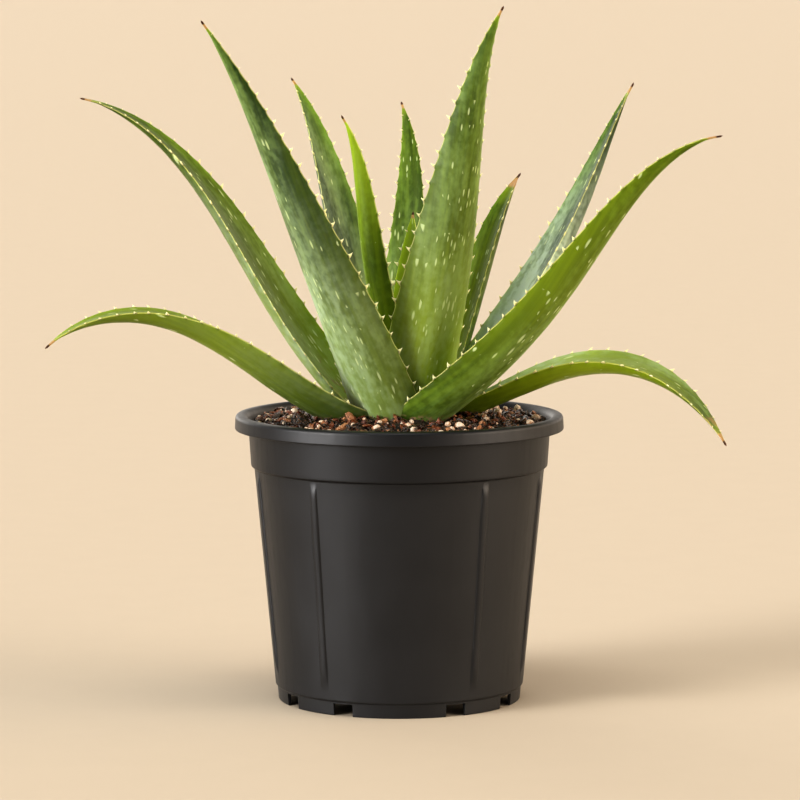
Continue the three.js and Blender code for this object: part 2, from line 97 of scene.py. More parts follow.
LEAVES = (
    Leaf(
        "leaf_01", foot=(0, -14, 138), length=231.5, lean=(51, 46, 41, 83), heading=(326, 334, 327),
        roll=(-19, -4), width=(24.5, 29, 18), thick=0.29, channel=0.14,
        youth=(0.05, 0.4, 0.25), depth=(0.4, 0.8, 0.7, 0.4), bloom_and_sheen=(0.25, 0.25, 0.1, 0.0, 1.3),
        flecks=(0.45, 0.4, 0.4, 0.0), husk=0.0, brown_tip=8.0,
    ),
    Leaf(
        "leaf_02", foot=(-2.5, -13, 136), length=241, lean=(26, 30, 31, 45), heading=(234, 222, 226),
        roll=(19, -5), width=(36, 33.5, 20), thick=0.22, channel=0.11,
        youth=(0.45, 0.1, 0.0), depth=(0.25, 0.9, 0.25, -0.5), bloom_and_sheen=(0.3, 0.3, 0.05, 0.3, 0.4),
        flecks=(0.48, 0.3, 0.28, 0.0), husk=0.3, brown_tip=5.0,
    ),
    Leaf(
        "leaf_03", foot=(6, -6, 136), length=230.5, lean=(9, 22, 20, 47), heading=(293, 300, 300),
        roll=(-9, 2), width=(33, 36, 21.5), thick=0.27, channel=0.13,
        youth=(1.0, 0.25, 0.05), depth=(0.0, 0.75, 0.35, 0.25), bloom_and_sheen=(0.3, 0.3, 0.05, 0.1, 0.4),
        flecks=(0.6, 0.4, 0.38, 0.0), husk=0.0, brown_tip=6.0,
    ),
    Leaf(
        "leaf_04", foot=(-17, -15, 146), length=180.5, lean=(73, 56, 82, 133), heading=(200, 200, 193),
        roll=(6, -9), width=(24.5, 28.5, 18), thick=0.26, channel=0.15,
        youth=(0.1, 0.5, 0.4), depth=(1.0, 1.0, 1.0, -0.5), bloom_and_sheen=(0.0, 0.0, 0.05, 0.0, 0.4),
        flecks=(0.3, 0.5, 0.4, 0.0), husk=0.9, brown_tip=6.0,
    ),
    Leaf(
        "leaf_05", foot=(15, -2.5, 146), length=172, lean=(82, 68, 110, 149), heading=(354, 346, 337),
        roll=(-3, 18), width=(15.5, 27.5, 19), thick=0.2, channel=0.17,
        youth=(0.2, 0.85, 0.0), depth=(1.0, 0.9, 0.85, 0.0), bloom_and_sheen=(0.25, 0.0, 0.0, 0.0, 0.4),
        flecks=(0.36, 0.6, 0.4, 0.0), husk=0.2, brown_tip=7.0,
    ),
    Leaf(
        "leaf_06", foot=(-8.5, 4, 143), length=226.5, lean=(53, 34, 41, 80), heading=(169, 166, 174),
        roll=(-17, -7), width=(28.5, 26.5, 17.5), thick=0.24, channel=0.15,
        youth=(0.8, 0.25, 0.05), depth=(0.4, 1.0, 0.65, -0.5), bloom_and_sheen=(0.1, 0.05, 0.2, 0.0, 2.5),
        flecks=(0.27, 0.4, 0.4, 0.0), husk=0.5, brown_tip=6.0,
    ),
    Leaf(
        "leaf_07", foot=(-1.5, 0, 146), length=151, lean=(-10, 12, 10, 34), heading=(206, 205, 205),
        roll=(3, 2), width=(17, 18.5, 14.5), thick=0.3, channel=0.13,
        youth=(0.5, 0.15, 0.65), depth=(0.9, 0.65, 0.0, -0.5), bloom_and_sheen=(0.1, 0.1, 0.0, 0.0, 2.2),
        flecks=(0.24, 0.5, 0.4, 0.0), husk=0.0, brown_tip=3.5,
    ),
    Leaf(
        "leaf_08", foot=(2.5, 5, 146), length=98, lean=(2, 4, 6, 8), heading=(60, 60, 60),
        roll=(0, 0), width=(15, 19, 14.5), thick=0.28, channel=0.15,
        youth=(0.5, 0.7, 0.55), depth=(1.0, 0.65, 0.0, 0.35), bloom_and_sheen=(0.0, 0.0, 0.05, 0.05, 2.2),
        flecks=(0.18, 0.5, 0.5, 0.0), husk=0.0, brown_tip=3.0,
    ),
    Leaf(
        "leaf_09", foot=(13, 9, 138), length=139, lean=(30, 21, 24, 47), heading=(38, 38, 39),
        roll=(-1, 1), width=(20, 17, 15.5), thick=0.28, channel=0.2,
        youth=(1.0, 0.4, 0.0), depth=(0.0, 1.0, 1.0, 0.5), bloom_and_sheen=(0.0, 0.0, 0.1, 0.1, 2.2),
        flecks=(0.3, 0.5, 0.5, 0.0), husk=0.0, brown_tip=10.0,
    ),
    Leaf(
        "leaf_10", foot=(19, 3.5, 138), length=201, lean=(25, 37, 30, 33), heading=(23, 22, 22),
        roll=(3, 1), width=(22, 26, 17), thick=0.3, channel=0.2,
        youth=(1.0, 0.0, 0.0), depth=(0.0, 0.8, 1.0, 0.5), bloom_and_sheen=(1.0, 0.0, 0.8, 0.9, 2.5),
        flecks=(0.36, 0.5, 0.5, 0.0), husk=0.0, brown_tip=6.0,
    ),
    Leaf(
        "leaf_11", foot=(-0.5, 12, 138), length=174, lean=(4, 20, 26, 40), heading=(94, 79, 112),
        roll=(5, -20), width=(27, 22.5, 14.5), thick=0.27, channel=0.18,
        youth=(0.45, 0.15, 0.1), depth=(0.35, 0.8, 0.8, 0.3), bloom_and_sheen=(0.1, 0.0, 0.1, 0.1, 1.9),
        flecks=(0.42, 0.45, 0.5, 0.0), husk=0.0, brown_tip=4.0,
    ),
    Leaf(
        "leaf_12", foot=(-7, 11, 138), length=190, lean=(3, 22, 25, 48), heading=(128, 129, 130),
        roll=(0, 0), width=(23.5, 25, 17.5), thick=0.27, channel=0.18,
        youth=(1.0, 0.05, 0.0), depth=(0.0, 0.9, 0.0, -0.45), bloom_and_sheen=(0.2, 0.1, 0.2, 0.2, 0.4),
        flecks=(0.21, 0.5, 0.5, 0.0), husk=0.0, brown_tip=5.0,
    ),
)


# Sizes and colours that a user would change


def length(name, description, millimetres):
    """A length property, given in millimetres."""
    return FloatProperty(name=name, description=description, default=millimetres * MM, unit="LENGTH")


def colour(name, description, code):
    """A colour property, given as an sRGB hex value."""
    default = linear(code)
    return FloatVectorProperty(name=name, description=description, default=default, subtype="COLOR", size=3)


def linear(code):
    """Linear red, green and blue of an sRGB hex value such as #6f8c3c."""
    shares = np.array([int(code[i : i + 2], 16) / 255 for i in (1, 3, 5)])
    return tuple(np.where(shares <= 0.04045, shares / 12.92, ((shares + 0.055) / 1.055) ** 2.4).tolist())


class AloeLeafSettings(bpy.types.PropertyGroup):
    """Form of the leaves' margins and the colours of their skin."""

    margin: length("Margin", "Thickness of the leaf's rounded edge", 0.7)
    tooth_length: length("Tooth length", "How far a tooth stands out of the margin", 2.3)
    tooth_base: length("Tooth base", "Length of a tooth's foot along the margin", 2.7)
    tooth_gap: length("Tooth gap", "Distance from tooth to tooth on one margin", 9.0)
    scallop: length("Scallop", "How far the margin itself runs out into a tooth", 0.8)
    first_tooth: length("First tooth", "Bare length of the margin above the foot", 16.0)
    # Deep green is the skin's darker patches and also the colour of the painted shade that depth lays on
    deep_green: colour("Deep green", "Darker patches of the skin", "#122d02")
    mid_green: colour("Mid green", "The skin's main green", "#68852a")
    young_green: colour("Young green", "Yellow-green of the foot, the tip and young leaves", "#91a61e")
    # Bloom is the grey wax, and also the colour of a painted sheen on the skin
    bloom_and_sheen: colour("Bloom", "Grey wax on the skin", "#b3c5ae")
    fleck: colour("Fleck", "Pale flecks in the skin", "#d2dfa8")
    cream: colour("Cream", "Margins and teeth", "#f2ea9e")
    husk: colour("Husk", "Withered skin at the foot", "#8a6f52")
    dried: colour("Dried tip", "Tan of the dried tip", "#9c7a56")
    spine: colour("Spine", "Dark brown of the spine", "#331a10")


class AloePotSettings(bpy.types.PropertyGroup):
    """Sizes and colour of the nursery pot."""

    height: length("Height", "Height of the pot", 144.0)
    rim_radius: length("Rim radius", "Outer radius of the hanging rim", 82.5)
    wall: length("Wall", "Wall thickness", 1.5)
    bead_width: length("Bead width", "Width of an upright bead on the wall", 4.2)
    bead_proud: length("Bead height", "How far a bead stands out of the wall", 0.9)
    plastic: colour("Plastic", "Black of the moulded plastic", "#0b0d11")


class AloeMixSettings(bpy.types.PropertyGroup):
    """What the potting mix holds."""

    chips: IntProperty(name="Chips", description="Number of bark chips", default=260, min=0)
    grains: IntProperty(name="Grains", description="Number of perlite grains", default=190, min=0)
    crumbs: IntProperty(name="Crumbs", description="Number of small crumbs", default=4200, min=0)
    seed: IntProperty(name="Seed", description="Seed of the draws that place them", default=41, min=0)
    peat: colour("Peat", "Dark base of the mix", "#0e0603")
    bark: colour("Bark", "Reddish brown of the bark", "#672d14")
    pale_bark: colour("Pale bark", "Split faces of the bark", "#a97850")
    perlite: colour("Perlite", "Stained white of the perlite", "#d8ccb8")


class AloeStageSettings(bpy.types.PropertyGroup):
    """Camera, lights and floor."""

    distance: length("Camera distance", "Distance from the camera to the pot's axis", 1900.0)
    camera_height: length("Camera height", "Height of the camera above the floor", 358.0)
    pitch: FloatProperty(
        name="Pitch", description="How far the camera looks down", default=np.radians(6.23), subtype="ANGLE"
    )
    lens: FloatProperty(name="Lens", description="Focal length on a 36 mm sensor, in mm", default=171.5)
    floor: colour("Floor", "Pale floor", "#c8bba8")


SETTINGS = (
    ("aloe_leaves", AloeLeafSettings),
    ("aloe_pot", AloePotSettings),
    ("aloe_mix", AloeMixSettings),
    ("aloe_stage", AloeStageSettings),
)


# Meshes from whole arrays


def new_piece(name, points, quads, triangles, attributes=None, smooth=True):
    """Makes a mesh object from arrays: points in mm, faces as rows of point numbers, attributes by name."""
    mesh = bpy.data.meshes.new(name)
    loops = np.concatenate([quads.reshape(-1), triangles.reshape(-1)]).astype(np.int32)
    quad_starts = np.arange(len(quads)) * 4
    triangle_starts = len(quads) * 4 + np.arange(len(triangles)) * 3
    starts = np.concatenate([quad_starts, triangle_starts]).astype(np.int32)
    mesh.vertices.add(len(points))
    mesh.vertices.foreach_set("co", (points * MM).astype(np.float32).reshape(-1))
    mesh.loops.add(len(loops))
    mesh.loops.foreach_set("vertex_index", loops)
    mesh.polygons.add(len(starts))
    mesh.polygons.foreach_set("loop_start", starts)
    mesh.polygons.foreach_set("use_smooth", np.full(len(starts), smooth))
    mesh.update(calc_edges=True)
    for label, values in (attributes or {}).items():
        if values.ndim == 2:
            mesh.attributes.new(label, "FLOAT_VECTOR", "POINT").data.foreach_set("vector", values.reshape(-1))
        else:
            mesh.attributes.new(label, "FLOAT", "POINT").data.foreach_set("value", values)
    piece = bpy.data.objects.new(name, mesh)
    bpy.context.scene.collection.objects.link(piece)
    return piece


def ring_quads(rings, around):
    """Faces between neighbouring rings of a grid that closes on itself around each ring."""
    i = np.arange(rings - 1)[:, None] * around
    j = np.arange(around)[None, :]
    k = (j + 1) % around
    return np.stack([i + j, i + k, i + around + k, i + around + j], axis=-1).reshape(-1, 4)


def cap_triangles(ring_start, around, pole, outward):
    """A fan from a ring to one point; outward is True at the grid's last ring."""
    j = np.arange(around)
    k = (j + 1) % around
    order = (ring_start + j, ring_start + k) if outward else (ring_start + k, ring_start + j)
    return np.stack([*order, np.full(around, pole)], axis=-1)


def closed_grid(grid, first_pole, last_pole):
    """Points and faces of a tube of rings, closed by a fan at each end. grid is (rings, around, 3)."""
    rings, around = grid.shape[:2]
    points = np.concatenate([grid.reshape(-1, 3), [first_pole, last_pole]])
    quads = ring_quads(rings, around)
    caps = [
        cap_triangles(0, around, rings * around, outward=False),
        cap_triangles((rings - 1) * around, around, rings * around + 1, outward=True),
    ]
    return points, quads, np.concatenate(caps)


def repeated(quads, triangles, placed):
    """Copies one small form's faces for every row of placed, which is (copies, points, 3)."""
    copies, count = placed.shape[:2]
    steps = (np.arange(copies) * count)[:, None, None]
    return (
        placed.reshape(-1, 3),
        (quads[None] + steps).reshape(-1, 4),
        (triangles[None] + steps).reshape(-1, 3),
    )


def joined(parts):
    """Puts several (points, quads, triangles, attributes) together as one."""
    shift = 0
    points, quads, triangles, attributes = [], [], [], {}
    for part_points, part_quads, part_triangles, part_attributes in parts:
        points.append(part_points)
        quads.append(part_quads + shift)
        triangles.append(part_triangles + shift)
        for label, values in part_attributes.items():
            attributes.setdefault(label, []).append(values)
        shift += len(part_points)
    whole = {label: np.concatenate(values).astype(np.float32) for label, values in attributes.items()}
    return np.concatenate(points), np.concatenate(quads), np.concatenate(triangles), whole


def turned(profile, angles):
    """A surface of revolution: each (radius, height) row of the profile at each angle, 0 at the front."""
    radius, height = profile[:, 0][:, None], profile[:, 1][:, None]
    x = radius * np.sin(angles)
    y = -radius * np.cos(angles)
    return np.stack([x, y, np.broadcast_to(height, x.shape)], axis=-1)


def lattice_noise(x, y, cell, rng):
    """Smooth heights from -1 to 1: random values on a square lattice, blended by the curve 3t² - 2t³."""
    values = rng.uniform(-1, 1, (64, 64))
    u, v = x / cell, y / cell
    i, j = np.floor(u).astype(int), np.floor(v).astype(int)
    s, t = u - i, v - j
    s, t = s * s * (3 - 2 * s), t * t * (3 - 2 * t)

    def at(a, b):
        return values[a % 64, b % 64]

    low = at(i, j) * (1 - s) + at(i + 1, j) * s
    high = at(i, j + 1) * (1 - s) + at(i + 1, j + 1) * s
    return low * (1 - t) + high * t


# Materials

# Kinds of node: Blender's name, the output to take, the inputs in the order of their values, and settings
MIX = ("ShaderNodeMix", 2, (0, 6, 7), {"data_type": "RGBA"})
ADD_LIGHT = ("ShaderNodeMix", 2, (0, 6, 7), {"data_type": "RGBA", "blend_type": "ADD"})
RISE = ("ShaderNodeMapRange", 0, (0, 1, 2, 3, 4), {"interpolation_type": "SMOOTHSTEP"})
TIMES = ("ShaderNodeMath", 0, (0, 1), {"operation": "MULTIPLY"})
PLUS = ("ShaderNodeMath", 0, (0, 1), {"operation": "ADD"})
POWER = ("ShaderNodeMath", 0, (0, 1), {"operation": "POWER"})
LARGER = ("ShaderNodeMath", 0, (0, 1), {"operation": "MAXIMUM"})
BELOW = ("ShaderNodeMath", 0, (0, 1), {"operation": "LESS_THAN"})
STRETCH = ("ShaderNodeVectorMath", 0, (0, 1), {"operation": "MULTIPLY"})
COSINE = ("ShaderNodeVectorMath", "Value", (0, 1), {"operation": "DOT_PRODUCT"})
NOISE = ("ShaderNodeTexNoise", 0, ("Vector", "Scale", "Detail", "Roughness"), {})
CELLS = ("ShaderNodeTexVoronoi", None, ("Vector", "Scale"), {"voronoi_dimensions": "2D"})
SPLIT = ("ShaderNodeSeparateXYZ", None, (0,), {})
PLACE = ("ShaderNodeTexCoord", "Object", (), {})
DIRECTION = ("ShaderNodeTexCoord", "Generated", (), {})
RELIEF = ("ShaderNodeBump", 0, ("Height", "Distance"), {})
RAY = ("ShaderNodeLightPath", "Is Camera Ray", (), {})
LEAF_PLACE = ("ShaderNodeAttribute", "Vector", (), {"attribute_name": "leaf_place"})
LEAF_ZONE = ("ShaderNodeAttribute", "Vector", (), {"attribute_name": "leaf_zone"})
LEAF_MARKS = ("ShaderNodeAttribute", "Vector", (), {"attribute_name": "leaf_marks"})
LEAF_TONE_AND_SHADE = ("ShaderNodeAttribute", "Fac", (), {"attribute_name": "leaf_tone_and_shade"})
TOOTH = ("ShaderNodeAttribute", "Fac", (), {"attribute_name": "tooth"})
SHADE = ("ShaderNodeAttribute", "Fac", (), {"attribute_name": "shade"})


def add(tree, kind, *values):
    """Adds a node of a kind, and gives the output that the kind names, or all of them where it names none.

    Each value goes to the kind's next input: an output of another node is linked, anything else is set.
    """
    blender_name, output, inputs, settings = kind
    node = tree.nodes.new(blender_name)
    for key, value in settings.items():
        setattr(node, key, value)
    for socket, value in zip([node.inputs[key] for key in inputs], values):
        if isinstance(value, bpy.types.NodeSocket):
            tree.links.new(value, socket)
        elif socket.type == "RGBA":
            socket.default_value = (*value, 1.0)
        else:
            socket.default_value = value
    return node.outputs if output is None else node.outputs[output]


def surface_of(name, viewport_colour, **constants):
    """A material with its shader, the shader's constants by socket name, and its output."""
    material = bpy.data.materials.new(name)
    material.use_nodes = True
    material.diffuse_color = (*viewport_colour, 1.0)
    tree = material.node_tree
    tree.nodes.clear()
    shader = tree.nodes.new("ShaderNodeBsdfPrincipled")
    for key, value in constants.items():
        shader.inputs[key.replace("_", " ")].default_value = value
    output = tree.nodes.new("ShaderNodeOutputMaterial")
    tree.links.new(shader.outputs[0], output.inputs["Surface"])
    return material, tree, shader


def waves_per(*millimetres):
    """Scale on each axis that turns metres into waves of the given lengths."""
    return tuple(1 / (size * MM) for size in millimetres)


# Sizes of the skin's patterns in mm: across the leaf and along it
CLOUD = (7.0, 45.0, 1.0)
MOTTLE = (2.6, 5.0, 1.0)
STREAK = (1.6, 60.0, 1.0)
FLECK_CELL = (1.8, 9.5, 1.0)
FLECK_BAND = (16.0, 11.0, 1.0)
PORE = (0.8, 0.8, 1.0)
# How far red, green and blue light run under the skin, as shares of its scale
FLESH_REACH = (0.8, 1.0, 0.15)
MARGIN_REACH = (0.5, 0.5, 0.4)


def waxy_aloe_skin(options):
    """Fresh aloe skin, grown: a tough green rind under a thin wax, which dulls its gloss and greys the green.

    Cloudy greens with painted shade laid on as depth, a grey wax bloom that also paints a sheen, pale flecks
    set along the leaf, a cream margin, cream teeth and a dried brown spine. The water-filled flesh lets light
    through under the rind, most where a leaf is thin.
    """
    material, tree, shader = surface_of(
        "waxy aloe skin",
        options.mid_green,
        IOR=1.42,
        Specular_IOR_Level=0.16,
        Subsurface_Scale=5.0 * MM,
    )
    place = add(tree, LEAF_PLACE)
    edge, to_tip, husk = add(tree, SPLIT, add(tree, LEAF_ZONE))
    flecks, bloom_and_sheen, youth = add(tree, SPLIT, add(tree, LEAF_MARKS))
    # depth holds the leaf's own darker green and painted shade, where it lies in other leaves' shadow or one
    # margin turns from the light
    depth = add(tree, LEAF_TONE_AND_SHADE)
    tooth = add(tree, TOOTH)
    cloud, mottle, streak, pore, band, cells = (
        add(tree, kind, add(tree, STRETCH, place, tuple(1 / size for size in sizes)), 1.0, *detail)
        for kind, sizes, *detail in (
            (NOISE, CLOUD, 3.0, 0.55),
            (NOISE, MOTTLE, 2.0),
            (NOISE, STREAK, 2.0),
            (NOISE, PORE, 1.0),
            (NOISE, FLECK_BAND, 0.0),
            (CELLS, FLECK_CELL),
        )
    )

    # Rind: cloudy greens, darker by depth, which is partly painted shade, and yellower in fine streaks
    cloudy = add(tree, RISE, cloud, 0.3, 0.7, -0.26, 0.26)
    blotchy = add(tree, RISE, mottle, 0.3, 0.7, -0.14, 0.14)
    uneven = add(tree, PLUS, cloudy, blotchy)
    green = add(tree, MIX, add(tree, PLUS, depth, uneven), options.mid_green, options.deep_green)
    streaky = add(tree, RISE, streak, 0.35, 0.7, -0.04, 0.06)
    green = add(tree, MIX, add(tree, PLUS, youth, streaky), green, options.young_green)

    # Wax, also a painted sheen: thinner where the rind shows darker
    thinner = add(tree, RISE, uneven, -0.3, 0.3, 1.5, 0.5)
    wax_and_sheen = add(tree, TIMES, bloom_and_sheen, thinner)
    green = add(tree, MIX, wax_and_sheen, green, options.bloom_and_sheen)

    # Flecks: a cell holds one where its draw is below the local share, and each has its own size
    draws = add(tree, SPLIT, cells["Color"])
    share = add(tree, TIMES, flecks, add(tree, RISE, band, 0.44, 0.58, 0.12, 1.5))
    chosen = add(tree, BELOW, draws[0], share)
    reach = add(tree, TIMES, cells["Distance"], add(tree, RISE, draws[1], 0.0, 1.0, 1.0, 2.2))
    spot = add(tree, TIMES, chosen, add(tree, RISE, reach, 0.42, 0.15))
    green = add(tree, MIX, add(tree, TIMES, spot, 0.55), green, options.fleck)

    # Foot, margins, teeth and tip
    ragged = add(tree, PLUS, husk, add(tree, RISE, mottle, 0.3, 0.7, -0.4, 0.4))
    withered = add(tree, RISE, ragged, 0.35, 0.8, 0.0, 0.85)
    green = add(tree, MIX, withered, green, options.husk)
    green = add(tree, MIX, add(tree, TIMES, edge, 0.28), green, options.cream)
    green = add(tree, MIX, add(tree, RISE, to_tip, 16.0, DRIED_END, 0.0, 0.3), green, options.young_green)
    green = add(tree, MIX, add(tree, RISE, to_tip, DRIED_END, 5.0), green, options.dried)
    is_tooth = add(tree, RISE, tooth, 0.0, 0.3)
    green = add(tree, MIX, is_tooth, green, options.cream)
    green = add(tree, MIX, add(tree, RISE, to_tip, 2.4, 1.4), green, options.spine)
    tree.links.new(green, shader.inputs["Base Color"])

    # Flesh passes green light furthest, and thin colourless margins and teeth pass all of it
    thin = add(tree, LARGER, edge, is_tooth)
    tree.links.new(add(tree, RISE, thin, 0.0, 1.0, 0.35, 0.85), shader.inputs["Subsurface Weight"])
    reach = add(tree, MIX, thin, FLESH_REACH, MARGIN_REACH)
    tree.links.new(reach, shader.inputs["Subsurface Radius"])
    tree.links.new(add(tree, RISE, wax_and_sheen, 0.0, 0.8, 0.36, 0.52), shader.inputs["Roughness"])
    relief = add(tree, PLUS, add(tree, TIMES, mottle, 0.6), add(tree, TIMES, pore, 0.12))
    relief = add(tree, PLUS, relief, add(tree, TIMES, spot, 0.12))
    relief = add(tree, PLUS, relief, add(tree, TIMES, streak, 0.15))
    tree.links.new(add(tree, RELIEF, relief, 0.4 * MM), shader.inputs["Normal"])
    return material


def moulded_polypropylene(options):
    """Injection-moulded black polypropylene: a satin skin with a fine even grain, faint scuffs and dust."""
    material, tree, shader = surface_of(
        "moulded polypropylene",
        options.plastic,
        Specular_IOR_Level=0.35,
    )
    place = add(tree, PLACE)
    # Grain of the mould, drawn at 0.6 mm so that it shows
    grain = add(tree, NOISE, add(tree, STRETCH, place, waves_per(0.6, 0.6, 0.6)), 1.0, 2.0)
    cloud = add(tree, NOISE, add(tree, STRETCH, place, waves_per(22, 22, 35)), 1.0, 4.0)
    scuff = add(tree, NOISE, add(tree, STRETCH, place, waves_per(3, 3, 14)), 1.0, 3.0)
    # Dust lies on the wall, and hands keep the band and the rim above it clean
    dusty = tuple(c + DUST_PALER for c in options.plastic)
    height = add(tree, SPLIT, place)[2]
    below_band = add(tree, RISE, height, LEDGE_HEIGHT * MM, (LEDGE_HEIGHT - DUST_FADE) * MM)
    dust = add(tree, TIMES, add(tree, RISE, cloud, 0.3, 0.75, 0.5, 0.9), below_band)
    base = add(tree, MIX, dust, options.plastic, dusty)
    tree.links.new(base, shader.inputs["Base Color"])
    worn = add(tree, RISE, scuff, 0.45, 0.75, 0.0, 0.06)
    worn = add(tree, PLUS, worn, add(tree, RISE, cloud, 0.3, 0.7, 0.4, 0.46))
    tree.links.new(worn, shader.inputs["Roughness"])
    tree.links.new(add(tree, RELIEF, grain, 0.01 * MM), shader.inputs["Normal"])
    return material


def damp_peat(options):
    """Damp peat and bark fines: near-black crumbs with reddish fibres, with a dull wet gloss."""
    material, tree, shader = surface_of("damp peat and bark fines", options.peat)
    place = add(tree, PLACE)
    fine = add(tree, NOISE, add(tree, STRETCH, place, waves_per(1.3, 1.3, 1.3)), 1.0, 5.0, 0.7)
    base = add(tree, MIX, add(tree, RISE, fine, 0.5, 0.75, 0.0, 0.5), options.peat, options.bark)
    tree.links.new(base, shader.inputs["Base Color"])
    tree.links.new(add(tree, RISE, fine, 0.4, 0.7, 0.6, 0.35), shader.inputs["Roughness"])
    tree.links.new(add(tree, RELIEF, fine, 0.8 * MM), shader.inputs["Normal"])
    return material


def broken_pine_bark(options):
    """Broken pine bark, damp: reddish corky layers with paler split faces, and edges that catch the light."""
    material, tree, shader = surface_of("broken pine bark", options.bark)
    place = add(tree, PLACE)
    shade = add(tree, SHADE)
    layers = add(tree, NOISE, add(tree, STRETCH, place, waves_per(0.9, 0.9, 0.5)), 1.0, 4.0)
    base = add(tree, MIX, add(tree, RISE, shade, 0.25, 0.75), options.peat, options.bark)
    base = add(tree, MIX, add(tree, RISE, shade, 0.7, 1.0, 0.0, 0.9), base, options.pale_bark)
    base = add(tree, MIX, add(tree, RISE, layers, 0.5, 0.7, 0.0, 0.45), base, options.pale_bark)
    base = add(tree, MIX, add(tree, RISE, layers, 0.5, 0.3, 0.0, 0.8), base, options.peat)
    tree.links.new(base, shader.inputs["Base Color"])
    tree.links.new(add(tree, RISE, layers, 0.35, 0.65, 0.15, 0.42), shader.inputs["Roughness"])
    tree.links.new(add(tree, RELIEF, layers, 0.6 * MM), shader.inputs["Normal"])
    return material


def expanded_perlite(options):
    """Expanded perlite: chalky, porous off-white glass foam, stained brown where the mix has dusted it."""
    material, tree, shader = surface_of("expanded perlite", options.perlite)
    place = add(tree, PLACE)
    shade = add(tree, SHADE)
    pores = add(tree, NOISE, add(tree, STRETCH, place, waves_per(0.9, 0.9, 0.9)), 1.0, 3.0)
    stain = add(tree, RISE, pores, 0.35, 0.65, 1.0, 0.1)
    stain = add(tree, TIMES, stain, add(tree, RISE, shade, 0.0, 1.0, 0.5, 1.0))
    base = add(tree, MIX, stain, options.perlite, options.pale_bark)
    tree.links.new(base, shader.inputs["Base Color"])
    tree.links.new(add(tree, RISE, pores, 0.3, 0.7, 0.8, 0.5), shader.inputs["Roughness"])
    tree.links.new(add(tree, RELIEF, pores, 0.5 * MM), shader.inputs["Normal"])
    return material


def fibrous_stem_skin(options):
    """Young aloe stem: pale green-brown fibres under dried leaf bases, dull."""
    material, tree, shader = surface_of("fibrous stem skin", options.dried, Roughness=0.75)
    fibres = add(tree, NOISE, add(tree, STRETCH, add(tree, PLACE), waves_per(1.2, 1.2, 9)), 1.0, 3.0)
    base = add(tree, MIX, add(tree, RISE, fibres, 0.35, 0.65), options.dried, options.young_green)
    tree.links.new(base, shader.inputs["Base Color"])
    tree.links.new(add(tree, RELIEF, fibres, 0.5 * MM), shader.inputs["Normal"])
    return material


def painted_floor(options):
    """Matt painted studio floor: even, pale and without gloss, with the faintest roller texture."""
    material, tree, shader = surface_of(
        "matt studio paint",
        options.floor,
        Roughness=0.9,
        Specular_IOR_Level=0.1,
    )
    roller = add(tree, NOISE, add(tree, STRETCH, add(tree, PLACE), waves_per(25, 25, 25)), 1.0, 3.0)
    slightly_darker = tuple(c * 0.97 for c in options.floor)
    tree.links.new(add(tree, MIX, roller, options.floor, slightly_darker), shader.inputs["Base Color"])
    return material


# Leaves

LINE_STEPS = 160
STATION = 1.0
UPPER_POINTS = 27
MARGIN_POINTS = 3
UNDER_POINTS = 31
TIP_THICKENING = 0.5
TIP_FLATTENING = 0.6
UNDERSIDE_ROUNDNESS = 0.75
THINNEST = 0.9
TIP_REACH = 1.2
RIPPLE = 0.12
TOOTH_RINGS = 4
TOOTH_SIDES = 6
TOOTH_LIFT = np.radians(35)
TOOTH_HOOK = 1.3
TOOTH_SIZES = (0.82, 1.12)
TOOTH_JITTER = 0.9
# Steps from tooth to tooth at the foot and near the tip, as shares of the gap, and the tip's bare length
TOOTH_STEPS = (1.12, 0.62)
BARE_TIP = 7.0
SCALLOP_REACH = (1.8, 5.0)
FLECKS_ACROSS = 0.8
# Length over which a withered foot dies away, and the mix's stain: its start above it, its fade, its strength
HUSK_LENGTH = 45.0
STAIN_START = 2.0
STAIN_FADE = 4.0
STAIN = 0.55
# The skin draws a dried end of this length, and it is stretched to each leaf's own
DRIED_END = 7.0
# Each leaf reads its pattern this far on from the last, so no two are alike
PATTERN_STEP = 400.0
THREE_PLACES = (0, 0.5, 1)
WAX_AND_SHEEN_AT_FOOT = 2.2


def through(values, share):
    """Values at shares of the length on the one polynomial that passes through evenly spaced values.

    Lagrange's formula: the sum of each value times the product of (share - other) / (its own - other).
    """
    places = np.linspace(0, 1, len(values))
    total = np.zeros_like(share)
    for i, value in enumerate(values):
        others = np.delete(places, i)
        total += value * np.prod((share[:, None] - others) / (places[i] - others), axis=1)
    return total


def frames_at(leaf, share):
    """Unit vectors along the leaf, across it and out of its upper face, at shares of its length.

    along = (sin lean cos heading, sin lean sin heading, cos lean), and face is at right angles to it in the
    same upright plane, towards the top. Both others are turned about along by roll.
    """
    lean = np.radians(through(leaf.lean, share))
    heading = np.radians(through(leaf.heading, share))
    roll = np.radians(through(leaf.roll, share))[:, None]
    along = np.stack([np.sin(lean) * np.cos(heading), np.sin(lean) * np.sin(heading), np.cos(lean)], axis=1)
    face = np.stack([-np.cos(lean) * np.cos(heading), -np.cos(lean) * np.sin(heading), np.sin(lean)], axis=1)
    side = np.cross(along, face)
    return along, side * np.cos(roll) - face * np.sin(roll), face * np.cos(roll) + side * np.sin(roll)


def middle_line(leaf, share):
    """Points of the middle line: the sum of small steps in the direction along, from the foot."""
    steps = (np.arange(LINE_STEPS) + 0.5) / LINE_STEPS
    along = frames_at(leaf, steps)[0]
    line = np.concatenate([[leaf.foot], leaf.foot + np.cumsum(along * leaf.length / LINE_STEPS, axis=0)])
    knots = np.linspace(0, 1, LINE_STEPS + 1)
    return np.stack([np.interp(share, knots, line[:, axis]) for axis in range(3)], axis=1)


def half_width(leaf, share):
    """Half the width across the margins: the polynomial through the three widths and 0 at the tip."""
    return np.maximum(through((*leaf.width, 0.0), share), THINNEST) / 2


